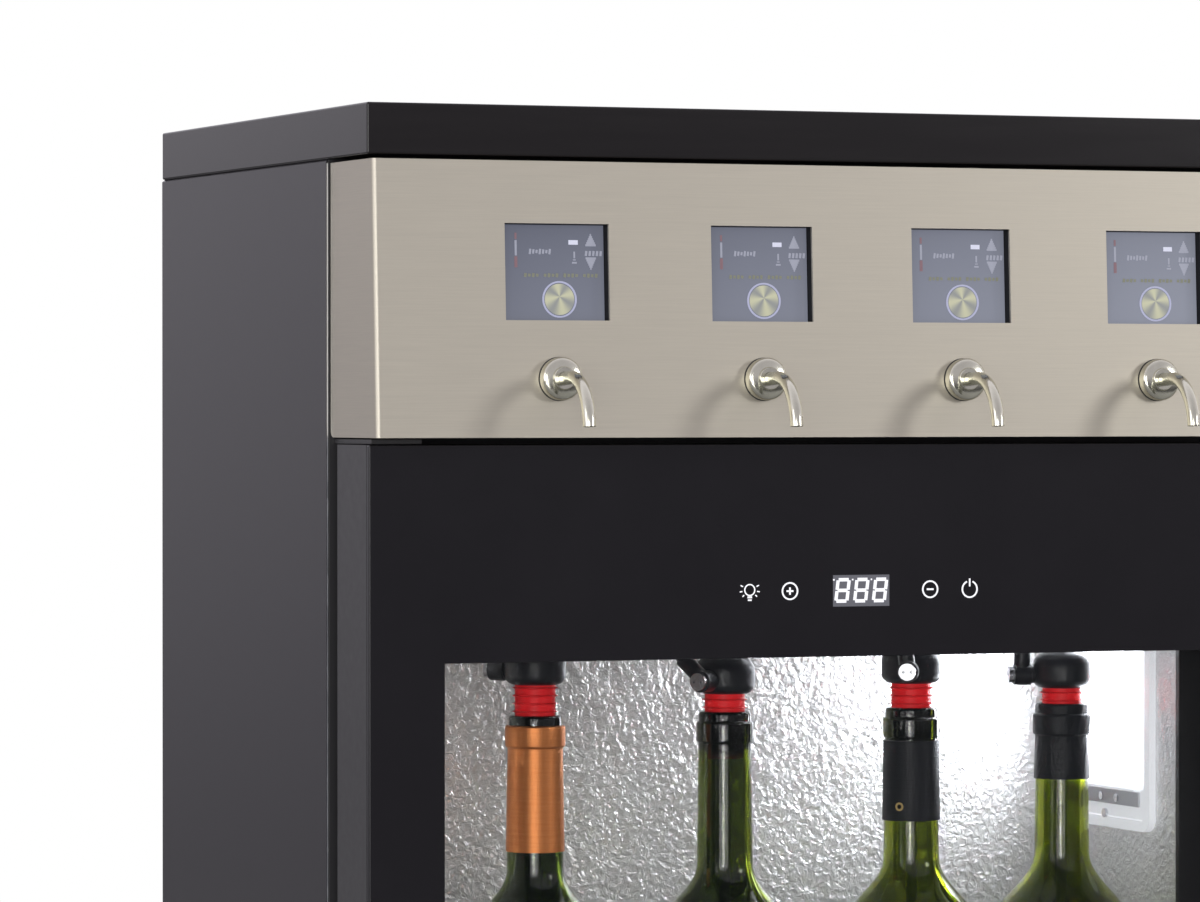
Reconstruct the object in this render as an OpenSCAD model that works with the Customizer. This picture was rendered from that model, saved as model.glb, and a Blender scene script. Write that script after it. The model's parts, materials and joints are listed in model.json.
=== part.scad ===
// Counter-top wine preservation dispenser for four bottles.
// Axes: X across the front, -Y towards the person pouring, +Z up, origin on the counter
// under the middle of the whole outline.

/* [Cabinet] */
// Width of the cabinet over its side panels
body_w = 516; // [500:1:560]
// Depth from the door's front face to the rear panel
body_d = 330; // [320:1:380]
// Thickness of the painted sheet of the panels
sheet_t = 1.2; // [0.8:0.1:2]
// Height of the feet
foot_h = 20; // [20:1:30]
// Diameter of a foot
foot_d = 30; // [22:1:36]
// Height of the base pan
pan_h = 18; // [14:1:19]
// Thickness of the lid over the control bay
lid_t = 25; // [18:1:32]
// How far the lid stands in front of the door's face
lid_overhang = 3; // [1:0.5:6]
// Depth of the side panels' front edge behind the door's face
panel_setback = 58; // [56:1:66]

/* [Control band] */
// Height of the brushed band from its lower edge to the lid
band_h = 136; // [130:1:146]
// Shadow gap between the band and the lid
band_gap = 2; // [1:0.5:4]
// How far the band's lower edge stands in front of the door's face
band_out = 11; // [9:0.5:15]
// Backward lean of the band, in degrees
band_lean = 2.6; // [1:0.1:3]
// Thickness of the band's sheet
band_t = 1.5; // [1:0.1:2]
// Distance of the outer taps from the cabinet's sides
tap_margin = 96; // [90:1:102]
// Number of taps
tap_count = 4; // [4:1:4]
// Height of the tap's axis above the band's lower edge
tap_z = 28.4; // [27:0.2:32]

/* [Touch displays] */
// Width of a display's opening
screen_w = 54; // [48:1:60]
// Height of a display's opening
screen_h = 47; // [42:1:50]
// Height of the opening's middle above the band's lower edge
screen_z = 80.3; // [78:0.1:84]
// Depth of the display's face behind the band's face
screen_depth = 7; // [4:0.5:9]
// Width of the display housing round the opening
screen_rim = 4; // [3:0.5:6]
// Depth of the display housing behind the band
screen_box_d = 18; // [14:1:22]

/* [Spouts] */
// Outer diameter of the spout's tube
spout_d = 6.35; // [6:0.05:8]
// Bore of the spout's tube
spout_bore = 4.2; // [3:0.1:5]
// Straight length in front of the band
spout_run = 16; // [12:1:20]
// Bend radius of the spout on its centre line
spout_r = 23; // [20:1:26]
// Angle through which the spout bends down
spout_bend = 88; // [80:1:90]
// Diameter of the spout's flange
flange_d = 21; // [18:0.5:24]
// Thickness of the spout's flange
flange_t = 6.5; // [4:0.5:8]
// Diameter of the threaded stem behind the flange
stem_d = 10; // [9:0.5:12]
// Length of the threaded stem behind the band's face
stem_l = 12; // [10:0.5:14]
// Width across the corners of the spout's nut
nut_d = 17; // [15:0.5:20]
// Thickness of the spout's nut
nut_t = 5; // [4:0.5:7]

/* [Door] */
// Thickness of the door
door_t = 47; // [44:1:50]
// Inset of the door from the cabinet's sides
door_inset = 2; // [1:0.5:4]
// Height of the door's lower edge above the base pan
door_lift = 4; // [4:0.5:8]
// Gap between the door's upper edge and the band
door_gap = 3.5; // [3.3:0.1:5]
// Width of the opaque border on the left and right of the window
border_w = 38.6; // [34:0.1:44]
// Height of the opaque border above the window
border_top = 105.5; // [100:0.5:112]
// Height of the opaque border below the window
border_low = 48; // [40:1:60]
// Thickness of each glass pane
pane_t = 4; // [3:0.5:5]
// Lap of the inner pane on the door frame
pane_lap = 5; // [4:0.5:7]
// Depth of the inner pane's seat behind the door's face
inner_seat = 38; // [34:1:40]
// Thickness of the door's magnetic gasket
gasket_t = 10.7; // [10:0.1:10.7]
// Width of the door's magnetic gasket
gasket_w = 12; // [9:1:12]
// Distance of the hinge axis from the cabinet's side
hinge_in = 14; // [12:1:16]
// Distance of the hinge axis behind the door's face
hinge_back = 12; // [11:1:14]
// Diameter of the hinge pins
pin_d = 6; // [5:0.5:7]
// Length of the hinge pins inside the door
pin_l = 12; // [8:1:16]
// Thickness of the hinge brackets
bracket_t = 2.5; // [2:0.1:3]

/* [Readout in the door] */
// Width of the readout's board
readout_w = 150; // [136:1:170]
// Height of the readout's board
readout_h = 30; // [24:1:40]
// Depth of the readout's board and lamps
readout_d = 8; // [6:1:12]
// Distance of the readout's middle below the band
readout_down = 76.5; // [70:0.5:82]
// Offset of the readout from the cabinet's middle
readout_shift = 2; // [0:0.5:4]

/* [Chamber] */
// Distance of the bottle chamber from the cabinet's sides
chamber_in = 48; // [46:1:52]
// Depth of the chamber's back wall behind the door's face
chamber_back = 214; // [208:1:218]
// Height of the chamber's floor above the base pan
floor_lift = 20; // [16:1:24]
// Free height between the bottles and the chamber's ceiling
headroom = 101; // [92:1:130]
// Distance of the chamber's ceiling below the band
ceiling_down = 40; // [34:1:44]
// Thickness of the embossed aluminium lining
liner_t = 1; // [0.8:0.1:1.5]
// Thickness of the insulation behind the chamber
foam_back = 30; // [26:1:32]

/* [Bottles] */
// Height of a bottle
bottle_h = 300; // [296:1:306]
// Diameter of a bottle
bottle_d = 76; // [72:0.5:77]
// Diameter of the glass ring at the bottle's mouth
ring_d = 29.5; // [28.5:0.1:30.5]
// Diameter of the bottle's neck below the ring
neck_d = 27.5; // [26:0.1:28.4]
// Bore of the bottle's mouth
mouth_d = 19; // [18.5:0.1:20]
// Thickness of the bottle's glass
glass_t = 3.5; // [3:0.1:4]
// Depth of the bottles' middle behind the door's face
bottle_back = 104; // [102:0.5:108]

/* [Stoppers] */
// Diameter of the stopper's cap
cap_d = 31; // [28:0.5:32]
// Height of the stopper's cap
cap_h = 20; // [18:0.5:24]
// Diameter of the stopper's rubber core
cone_d = 20.6; // [20:0.1:21.4]
// Diameter over the rubber fins
fin_d = 23.2; // [22.4:0.1:24]
// Distance between the rubber fins
fin_pitch = 4; // [3:0.5:5]
// Outer diameter of the dip tube
dip_d = 6; // [5:0.1:7]
// Bore of the dip tube
dip_bore = 4; // [3:0.1:4.5]
// Outer diameter of the hoses
hose_d = 6.4; // [6:0.1:6.4]
// Bore of the hoses
hose_bore = 3.6; // [3:0.1:4]

/* [Gas and wine valves] */
// Width of a pinch valve
valve_w = 24; // [22:1:28]
// Height of a pinch valve
valve_h = 24; // [20:1:28]
// Length of a pinch valve's coil behind its jaw
valve_l = 44; // [40:1:50]
// Diameter of a valve's plunger
plunger_d = 8; // [7:0.5:9]
// Length of a valve's plunger
plunger_l = 26; // [22:1:30]
// Distance that the plunger draws back
plunger_stroke = 2; // [1.5:0.1:3]
// Width and height of the gas manifold's bar
manifold_s = 16; // [14:1:20]
// Diameter of the gas supply hose that the inlet takes
supply_d = 8; // [6:1:8]

/* [Cooling] */
// Width of the cold side's heat sink
cold_w = 120; // [110:1:130]
// Height of the fans' middle above the chamber's floor
cold_z = 100; // [90:1:110]
// Width of the cold fan's frame
cold_fan_w = 114; // [108:1:116]
// Width of the hot side's heat sink
hot_w = 130; // [120:1:140]
// Width of the hot fan's frame
hot_fan_w = 92; // [88:1:96]
// Thickness of the fans
fan_t = 18; // [16:1:20]
// Depth of a heat sink's fins
fin_depth = 18; // [14:1:20]
// Thickness of a heat sink's base plate
sink_base = 5; // [4:0.5:6]
// Depth of the cover over the cold fan, in front of the back wall
cover_d = 45; // [44:1:50]

/* [Lamp] */
// Depth of the lamp cover along the side wall
lamp_d = 101; // [96:1:104]
// Height of the lamp cover
lamp_h = 160; // [150:1:166]
// Thickness of the lamp cover
lamp_t = 4; // [3:0.5:5]

/* [Drip tray] */
// Gap between the drip tray and the feet
foot_gap = 1; // [1:0.5:20]
// Reach of the drip tray in front of the door's face
tray_reach = 95; // [90:1:110]
// Length of the drip tray under the cabinet
tray_tail = 90; // [80:1:100]
// Height of the drip tray
tray_h = 14; // [12:1:15]
// Thickness of the drip tray's sheet
tray_t = 1.2; // [1:0.1:1.5]
// Number of slots in the drip grille
slot_count = 30; // [20:1:34]

/* [Power] */
// Width of the opening of the mains inlet
inlet_w = 27; // [26:0.5:30]
// Height of the opening of the mains inlet
inlet_h = 20; // [19:0.5:22]
// Width of the rocker of the power switch
rocker_w = 14; // [12:0.5:16]
// Height of the rocker of the power switch
rocker_h = 20; // [19:0.5:24]

/* [Hidden] */
$fn = 48;

// Clearances
fit = 0.05;            // running fit of a pin or shaft, on the radius
clear = 0.3;           // rest gap between pieces that move against each other
cut = 1;               // overshoot of a cutting tool
taps = [0 : tap_count - 1];

// Depths, all from the door's front face
guard_out = 5;         // how far the fan guard stands behind the rear panel
door_y = -(tray_reach + body_d + guard_out) / 2 + tray_reach;
panel_y = door_y + panel_setback;
rear_y = door_y + body_d;
frame_t = 4;           // thickness of the front frame
liner_y = panel_y + frame_t;
wall_y = door_y + chamber_back;
bottle_y = door_y + bottle_back;

// Heights
pan_z = foot_h;
pan_top = pan_z + pan_h;
door_z = pan_top + door_lift;
floor_z = pan_top + floor_lift;
ceiling_z = floor_z + bottle_h + headroom;
band_z = ceiling_z + ceiling_down;
door_top = band_z - door_gap;
lid_z = band_z + band_h;
body_h = lid_z + lid_t;
deck_t = 1.5;          // thickness of the valve deck
deck_top = band_z + deck_t;

// Widths
side_x = body_w / 2;
door_x = side_x - door_inset;
window_x = door_x - border_w;
window_low = door_z + border_low;
window_top = door_top - border_top;
chamber_w = body_w - 2 * chamber_in;
chamber_x = chamber_w / 2;
tap_pitch = (body_w - 2 * tap_margin) / (tap_count - 1);
foot_in = 7;           // distance of the feet from the cabinet's sides
foot_x = side_x - foot_in - foot_d / 2;
tray_w = body_w - 2 * (foot_in + foot_d + foot_gap);
hinge_x = -side_x + hinge_in;
hinge_y = door_y + hinge_back;

// Bottles stand a little to the right of the taps; chosen by eye from the object
bottle_share = [-131 / 210, -27 / 210, 78 / 210, 165 / 210];
bottle_x = [for (s = bottle_share) s * chamber_x];
// Gap between the glass ring and the cap above it, on each bottle
cone_show = [15.5, 9, 12.4, 8.4];
// Direction in which the gas elbow leaves each cap, from the +X axis
elbow_turn = [128, 218, 241, 165];
// Lower end of each capsule and gap from its top to the mouth; no capsule on bottle 2
capsule_low = [71, 0, 60, 40];
capsule_drop = [6, 0, 18, 0];

function tap_x(i) = (i - (tap_count - 1) / 2) * tap_pitch;
function ring_top() = floor_z + bottle_h;
function cap_z(i) = ring_top() + cone_show[i];

// A box between two corners
module box(x0, x1, y0, y1, z0, z1) {
  translate([x0, y0, z0])
    cube([x1 - x0, y1 - y0, z1 - z0]);
}

// A box of the given width centred on x = 0
module mid_box(w, y0, y1, z0, z1) {
  box(-w / 2, w / 2, y0, y1, z0, z1);
}

// A round bar along Y from y0 to y1
module y_bar(d, y0, y1, x = 0, z = 0) {
  translate([x, y0, z])
    rotate([-90, 0, 0])
      cylinder(d = d, h = y1 - y0);
}

// A round bar along X from x0 to x1
module x_bar(d, x0, x1, y = 0, z = 0) {
  translate([x0, y, z])
    rotate([0, 90, 0])
      cylinder(d = d, h = x1 - x0);
}

// The band's own frame: z runs up its face, y = 0 is its front face
module on_band() {
  translate([0, door_y - band_out, band_z])
    rotate([-band_lean, 0, 0])
      children();
}

// A hose swept along points, as rings with the given number of sides
function unit(v) = v / norm(v);
function tangent(p, i) =
  i == 0 ? unit(p[1] - p[0]) :
  i == len(p) - 1 ? unit(p[i] - p[i - 1]) :
  unit(unit(p[i] - p[i - 1]) + unit(p[i + 1] - p[i]));
function side_of(t) =
  abs(t[0]) < 0.9 ? unit(cross(t, [1, 0, 0])) : unit(cross(t, [0, 1, 0]));
function ring(p, i, r, n) =
  let (t = tangent(p, i), a = side_of(t), b = cross(t, a))
  [for (k = [0 : n - 1]) p[i] + r * (cos(360 * k / n) * a + sin(360 * k / n) * b)];
module swept(p, r, n) {
  m = len(p);
  polyhedron(
    points = [for (i = [0 : m - 1]) each ring(p, i, r, n)],
    faces = concat(
      [[for (k = [0 : n - 1]) k]],
      [[for (k = [n - 1 : -1 : 0]) (m - 1) * n + k]],
      [for (i = [0 : m - 2]) for (k = [0 : n - 1])
        [i * n + k, (i + 1) * n + k, i * n + (k + 1) % n]],
      [for (i = [0 : m - 2]) for (k = [0 : n - 1])
        [i * n + (k + 1) % n, (i + 1) * n + k, (i + 1) * n + (k + 1) % n]]),
    convexity = 6);
}

// ---------------------------------------------------------------- casing

screw_d = 4;
screw_head = 7;
screw_count = 5;       // number of screws on each side of the rear panel
screw_edge = 30;       // distance of the end screws from the panel's ends
plinth_back = 4;       // distance of the base pan's front behind the door's face
lip = 10;              // width of the folded edges of the side panels

module base_pan() {
  color([0.1, 0.1, 0.11])
    union() {
      difference() {
        box(-side_x + sheet_t, side_x - sheet_t, door_y + plinth_back, rear_y - sheet_t, pan_z,
          pan_top);
        box(-side_x + 2 * sheet_t, side_x - 2 * sheet_t, door_y + plinth_back + sheet_t,
          rear_y - 2 * sheet_t, pan_z - cut, pan_top - sheet_t);
      }
      tray_rail();
      mirror([1, 0, 0])
        tray_rail();
    }
}

function screw_z(k) =
  pan_top + screw_edge + k * (lid_z - pan_top - 2 * screw_edge) / (screw_count - 1);
screw_x = side_x - (lip + sheet_t) / 2;

module screw_bars(d, y0, y1) {
  for (side = [-1, 1])
    for (k = [0 : screw_count - 1])
      y_bar(d, y0, y1, side * screw_x, screw_z(k));
}

module side_panel() {
  color([0.23, 0.22, 0.24])
    difference() {
      union() {
        box(-side_x, -side_x + sheet_t, panel_y, rear_y, pan_z, lid_z);
        box(-side_x + sheet_t, -side_x + lip, rear_y - sheet_t, rear_y, pan_z, lid_z);
      }
      screw_bars(screw_d, rear_y - 2 * sheet_t, rear_y + cut);
    }
}

module left_side_panel() {
  side_panel();
}

module right_side_panel() {
  mirror([1, 0, 0])
    side_panel();
}

module casing_screws() {
  color([0.7, 0.7, 0.7]) {
    screw_bars(screw_head, rear_y, rear_y + 2);
    screw_bars(screw_d, rear_y - 8, rear_y + 1);
  }
}

fan_z = floor_z + cold_z;
guard_d = hot_fan_w - 4;
guard_rings = 4;
vent_count = 9;
vent_w = 60;
vent_h = 4;
vent_step = 10;
inlet_x = 150;         // distance of the mains inlet from the cabinet's middle
inlet_z = pan_top + 60;
supply_x = -150;
supply_z = deck_top + 60;

guard_wire = 2;        // thickness of the guard's rings
guard_post_d = 5;
guard_post_out = 4;    // distance of the guard's posts outside its opening
guard_posts = 6;
module fan_guard() {
  // Rings on three crossing bars, each bar welded to two posts on the rear panel
  union() {
    for (k = [1 : guard_rings])
      difference() {
        y_bar((guard_d - 3) * k / guard_rings, rear_y + 0.5, rear_y + guard_out - 2, 0, fan_z);
        y_bar((guard_d - 3) * k / guard_rings - 2 * guard_wire, rear_y - cut,
          rear_y + guard_out, 0, fan_z);
      }
    for (k = [0 : guard_posts / 2 - 1])
      translate([0, rear_y, fan_z])
        rotate([0, 360 * k / guard_posts, 0])
          mid_box(guard_d + 2 * guard_post_out + 2, guard_out - 3, guard_out, -1, 1);
    for (k = [0 : guard_posts - 1])
      translate([0, rear_y, fan_z])
        rotate([0, 360 * k / guard_posts, 0])
          y_bar(guard_post_d, 0, guard_out, guard_d / 2 + guard_post_out, 0);
  }
}

module rear_panel() {
  color([0.1, 0.1, 0.11]) {
    difference() {
      box(-side_x + lip, side_x - lip, rear_y - sheet_t, rear_y, pan_z, lid_z);
      y_bar(guard_d, rear_y - 2 * sheet_t, rear_y + cut, 0, fan_z);
      for (side = [-1, 1])
        for (k = [0 : vent_count - 1])
          mid_slot(side * 90, band_z - 60 - vent_step * k);
      box(inlet_x - plug_w / 2, inlet_x + plug_w / 2, rear_y - 2 * sheet_t, rear_y + cut,
        inlet_low, inlet_high);
      y_bar(stem_d + 2, rear_y - 2 * sheet_t, rear_y + cut, supply_x, supply_z);
    }
    fan_guard();
  }
}

module mid_slot(x, z) {
  box(x - vent_w / 2, x + vent_w / 2, rear_y - 2 * sheet_t, rear_y + cut,
    z - vent_h / 2, z + vent_h / 2);
}

module top_cover() {
  color([0.08, 0.07, 0.08])
    box(-side_x, side_x, door_y - lid_overhang, rear_y, lid_z, body_h);
}

module front_frame() {
  color([0.06, 0.06, 0.06])
    difference() {
      box(-side_x + sheet_t, side_x - sheet_t, panel_y, panel_y + frame_t, pan_top, lid_z);
      mid_box(chamber_w, panel_y - cut, panel_y + frame_t + cut, floor_z, ceiling_z);
      mid_box(body_w - 60, panel_y - cut, panel_y + frame_t + cut, deck_top + 4, lid_z - 12);
    }
}

foam_x = side_x - sheet_t;
module liner_outer(grow) {
  mid_box(chamber_w + 2 * grow, liner_y, wall_y + grow, floor_z - grow, ceiling_z + grow);
}

// Positions of the holes in the ceiling
hose_y = door_y + 70;
gas_y = bottle_y + 30;
gas_x = [for (i = taps) bottle_x[i] - 20];
hole_d = hose_d + 1;

module ceiling_holes(z0, z1) {
  for (i = taps) {
    translate([tap_x(i), hose_y, z0])
      cylinder(d = hole_d, h = z1 - z0);
    translate([gas_x[i], gas_y, z0])
      cylinder(d = hole_d, h = z1 - z0);
  }
}

block_w = 40;          // width of the cold block that passes through the back wall
module inner_liner() {
  color([0.75, 0.76, 0.78])
    difference() {
      liner_outer(liner_t);
      mid_box(chamber_w, liner_y - cut, wall_y, floor_z, ceiling_z);
      ceiling_holes(ceiling_z - cut, ceiling_z + 2 * liner_t);
      mid_box(block_w, wall_y - cut, wall_y + 2 * liner_t, fan_z - block_w / 2,
        fan_z + block_w / 2);
    }
}

foam_y = wall_y + foam_back;
module insulation() {
  color([0.9, 0.88, 0.78])
    difference() {
      mid_box(2 * foam_x, liner_y, foam_y, pan_top, band_z);
      mid_box(chamber_w + 2 * liner_t, liner_y - cut, wall_y + liner_t, floor_z - liner_t,
        ceiling_z + liner_t);
      ceiling_holes(ceiling_z, band_z + cut);
      mid_box(block_w, wall_y - cut, foam_y + cut, fan_z - block_w / 2, fan_z + block_w / 2);
    }
}

module valve_deck() {
  color([0.6, 0.6, 0.62])
    difference() {
      mid_box(2 * foam_x, liner_y, rear_y - sheet_t, band_z, deck_top);
      ceiling_holes(band_z - cut, deck_top + cut);
    }
}

foot_pad = 6;
foot_stem = 0.4;       // diameter of a foot's stem as a share of the foot's
foot_back = 20;        // distance of the front feet in front of the side panels' edge
module feet() {
  color([0.05, 0.05, 0.05])
    for (x = [-1, 1])
      for (y = [panel_y - foot_back, rear_y - 2 * foot_back])
        translate([x * foot_x, y, 0])
          union() {
            cylinder(d = foot_d, h = foot_pad);
            cylinder(d = foot_stem * foot_d, h = foot_h + pan_h - sheet_t);
          }
}

// ---------------------------------------------------------------- control band

face_h = (band_h - band_gap) / cos(band_lean);
module fascia() {
  color([0.72, 0.69, 0.63]) {
    difference() {
      union() {
        on_band()
          mid_box(body_w - 2 * band_t, 0, band_t, 0, face_h);
        for (x = [-side_x, side_x - band_t])
          translate([x, 0, 0])
            rotate([90, 0, 90])
              linear_extrude(height = band_t)
                polygon([[door_y - band_out, band_z],
                  [panel_y, band_z],
                  [panel_y, lid_z - band_gap],
                  [door_y - band_out + face_h * sin(band_lean), lid_z - band_gap]]);
        mid_box(body_w - 2 * band_t, door_y - band_out + 0.05, panel_y, band_z, band_z + band_t);
      }
      on_band() {
        for (i = taps) {
          translate([tap_x(i), 0, screen_z])
            mid_box(screen_w, -cut, band_t + cut, -screen_h / 2, screen_h / 2);
          y_bar(stem_d + 2 * fit, -cut, band_t + cut, tap_x(i), tap_z);
        }
      }
    }
  }
}

module display(i) {
  rim_w = screen_w + 2 * screen_rim;
  rim_h = screen_h + 2 * screen_rim;
  color([0.15, 0.15, 0.17])
    on_band()
      translate([tap_x(i), 0, screen_z])
        difference() {
          mid_box(rim_w, band_t, band_t + screen_box_d, -rim_h / 2, rim_h / 2);
          mid_box(screen_w, band_t - cut, screen_depth, -screen_h / 2, screen_h / 2);
        }
}

barb_l = 6;            // length of the spout's tube behind its stem
module pipe_ring() {
  difference() {
    circle(d = spout_d);
    circle(d = spout_bore);
  }
}

// The spout is one tube: straight out of the band and then round the bend
module spout(i) {
  color([0.8, 0.8, 0.8])
    on_band()
      translate([tap_x(i), 0, tap_z])
        union() {
          translate([0, -spout_run, 0])
            rotate([-90, 0, 0])
              linear_extrude(height = spout_run + stem_l + barb_l)
                pipe_ring();
          translate([0, -spout_run, -spout_r])
            rotate([90, 0, 90])
              rotate([0, 0, 90])
                rotate_extrude(angle = spout_bend)
                  translate([spout_r, 0])
                    pipe_ring();
        }
}

module spout_fixings() {
  color([0.8, 0.8, 0.8])
    on_band()
      for (i = taps)
        translate([tap_x(i), 0, tap_z])
          difference() {
            union() {
              y_bar(flange_d, -flange_t, 0);
              y_bar(stem_d, -flange_t / 2, stem_l);
              y_bar(nut_d, band_t, band_t + nut_t);
            }
            y_bar(spout_d, -flange_t - cut, stem_l + cut);
          }
}

// ---------------------------------------------------------------- bottles

lip_d = 28;            // diameter of the glass above the ring
lip_l = 6;             // length of the glass above the ring
ring_l = 11;           // length of the ring
step_l = 1.2;          // length of the slope on each side of the ring
neck_l = 78;           // distance of the shoulder below the mouth
shoulder_l = 40;       // height of the shoulder
shoulder_steps = 8;
neck_low = 0.7;        // how much the neck's radius grows down to the shoulder
punt_h = 22;           // height of the hollow under the bottle
punt_d = 50;           // width of the hollow under the bottle

function neck_r(d) =
  d <= lip_l ? lip_d / 2 :
  d <= lip_l + step_l ? lip_d / 2 + (ring_d - lip_d) / 2 * (d - lip_l) / step_l :
  d <= lip_l + ring_l ? ring_d / 2 :
  d <= lip_l + ring_l + step_l ?
    ring_d / 2 + (neck_d - ring_d) / 2 * (d - lip_l - ring_l) / step_l :
  neck_d / 2 + neck_low * (d - lip_l - ring_l - step_l) / (neck_l - lip_l - ring_l - step_l);

neck_marks = [lip_l, lip_l + step_l, lip_l + ring_l, lip_l + ring_l + step_l];

// Outline points of the neck between two depths, each grown outwards
function neck_line(d0, d1, grow) = concat(
  [[neck_r(d0) + grow, -d0]],
  [for (d = neck_marks) if (d > d0 && d < d1) [neck_r(d) + grow, -d]],
  [[neck_r(d1) + grow, -d1]]);

// Outline points of the shoulder, inset by the given amount
function shoulder_line(inset) = [for (k = [1 : shoulder_steps])
  let (t = k / shoulder_steps, r0 = neck_r(neck_l), r1 = bottle_d / 2)
  [r0 + (r1 - r0) * (1 - cos(180 * t)) / 2 - inset, -neck_l - shoulder_l * t]];

function glass_outline() = concat(
  [[mouth_d / 2, 0]], neck_line(0, neck_l, 0), shoulder_line(0),
  [[bottle_d / 2, -bottle_h + 4], [bottle_d / 2 - 4, -bottle_h], [punt_d / 2, -bottle_h],
    [4, -bottle_h + punt_h], [0, -bottle_h + punt_h],
    [0, -bottle_h + punt_h + glass_t + 2], [6, -bottle_h + punt_h + glass_t + 2],
    [punt_d / 2 + 2, -bottle_h + glass_t + 3],
    [bottle_d / 2 - glass_t - 3, -bottle_h + glass_t + 3],
    [bottle_d / 2 - glass_t, -bottle_h + glass_t + 7]],
  [for (k = [shoulder_steps : -1 : 1]) shoulder_line(glass_t)[k - 1]],
  [[mouth_d / 2, -neck_l]]);

module at_bottle(i, z) {
  translate([bottle_x[i], bottle_y, z])
    children();
}

module bottles() {
  color([0.16, 0.24, 0.08, 0.9])
    for (i = taps)
      at_bottle(i, ring_top())
        rotate_extrude()
          polygon(glass_outline());
}

wine_fill = [120, 150, 128, 175];
module wine() {
  color([0.25, 0.02, 0.05])
    for (i = taps)
      at_bottle(i, ring_top())
        difference() {
          rotate_extrude()
            polygon(concat(
              [[0, -wine_fill[i]], [bottle_d / 2 - glass_t, -wine_fill[i]],
                [bottle_d / 2 - glass_t, -bottle_h + glass_t + 7],
                [bottle_d / 2 - glass_t - 3, -bottle_h + glass_t + 3],
                [punt_d / 2 + 2, -bottle_h + glass_t + 3],
                [6, -bottle_h + punt_h + glass_t + 2], [0, -bottle_h + punt_h + glass_t + 2]]));
          translate([0, 0, -bottle_h + dip_end])
            cylinder(d = dip_d, h = bottle_h);
        }
}

foil_t = 0.5;
module capsules() {
  color([0.45, 0.25, 0.12])
    for (i = taps)
      if (capsule_low[i] > 0)
        at_bottle(i, ring_top())
          rotate_extrude()
            polygon(concat(
              neck_line(capsule_drop[i], capsule_low[i], fit),
              reverse_of(neck_line(capsule_drop[i], capsule_low[i], foil_t))));
}

function reverse_of(list) = [for (k = [len(list) - 1 : -1 : 0]) list[k]];

// ---------------------------------------------------------------- stoppers

plug_l = 24;           // length of the stopper inside the bottle's mouth
plug_play = 0.2;       // gap between the plug and the bottle's mouth, on the radius
dip_end = 34;          // height of the dip tube's lower end above the bottle's base
dip_in = 12;           // length of the dip tube inside the cap
nipple_d = 12;         // diameter of the hose nipple on the cap
nipple_h = 5;          // height of the hose nipple on the cap
cap_low_r = 5;         // rounding of the cap's lower edge
cap_top_r = 9;         // rounding of the cap's upper edge
arc_steps = 6;

function arc(cx, cz, r, a0, a1) = [for (k = [0 : arc_steps])
  let (a = a0 + (a1 - a0) * k / arc_steps) [cx + r * cos(a), cz + r * sin(a)]];

module stopper_head(i) {
  color([0.05, 0.05, 0.05])
    at_bottle(i, cap_z(i))
      difference() {
        union() {
          rotate_extrude()
            polygon(concat(
              [[0, 0]],
              arc(cap_d / 2 - cap_low_r, cap_low_r, cap_low_r, -90, 0),
              arc(cap_d / 2 - cap_top_r, cap_h - cap_top_r, cap_top_r, 0, 90),
              [[0, cap_h]]));
          cylinder(d = nipple_d, h = cap_h + nipple_h);
          rotate([0, 0, elbow_turn[i]])
            x_bar(elbow_boss_d, 0, cap_d / 2 + boss_out, 0, elbow_up);
        }
        translate([0, 0, -cut])
          cylinder(d = dip_d, h = dip_in + cut);
        rotate([0, 0, elbow_turn[i]])
          x_bar(bolt_d, cap_d / 2 - bolt_in, cap_d / 2 + boss_out + cut, 0, elbow_up);
      }
}

module stopper_cones() {
  color([0.75, 0.07, 0.09])
    for (i = taps)
      at_bottle(i, ring_top())
        difference() {
          union() {
            cylinder(d = cone_d, h = cone_show[i]);
            translate([0, 0, -plug_l])
              cylinder(d = mouth_d - 2 * plug_play, h = plug_l);
            for (z = [fin_pitch / 2 : fin_pitch : cone_show[i] - 0.5])
              translate([0, 0, z])
                rotate_extrude()
                  polygon([[0, 0.5], [cone_d / 2, 0.5], [fin_d / 2, 0.1], [fin_d / 2, -0.1],
                    [cone_d / 2, -0.5], [0, -0.5]]);
          }
          translate([0, 0, -plug_l - cut])
            cylinder(d = dip_d, h = plug_l + cone_show[i] + 2 * cut);
        }
}

module dip_tubes() {
  color([0.85, 0.85, 0.87])
    for (i = taps)
      at_bottle(i, floor_z + dip_end)
        difference() {
          cylinder(d = dip_d, h = bottle_h - dip_end + cone_show[i] + dip_in);
          translate([0, 0, -cut])
            cylinder(d = dip_bore, h = bottle_h);
        }
}

elbow_boss_d = 9;      // diameter of the boss on the cap's side
boss_out = 1.2;        // how far the boss stands out of the cap
elbow_up = 7;          // height of the elbow's axis above the cap's lower face
eye_d = 11;            // diameter of the elbow's eye
eye_l = 9;             // length of the elbow's eye
bolt_d = 4;            // diameter of the banjo bolt
bolt_in = 5;           // length of the bolt inside the cap
bolt_head_d = 9;
bolt_head_t = 3;
barrel_d = 8.5;        // diameter of the elbow's barrel
barrel_l = 17;         // distance of the barrel's end above the eye's axis
// Lean of each elbow's barrel from the vertical, seen along its bolt
elbow_lean = [0, 48, 8, 0];

module at_elbow(i) {
  at_bottle(i, cap_z(i) + elbow_up)
    rotate([0, 0, elbow_turn[i]])
      translate([cap_d / 2 + boss_out, 0, 0])
        children();
}

module gas_elbows() {
  color([0.05, 0.05, 0.05])
    for (i = taps)
      at_elbow(i)
        difference() {
          union() {
            x_bar(eye_d, 0, eye_l);
            translate([eye_l / 2, 0, 0])
              rotate([elbow_lean[i], 0, 0])
                cylinder(d = barrel_d, h = barrel_l);
          }
          x_bar(bolt_d, -cut, eye_l + cut);
        }
}

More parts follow.
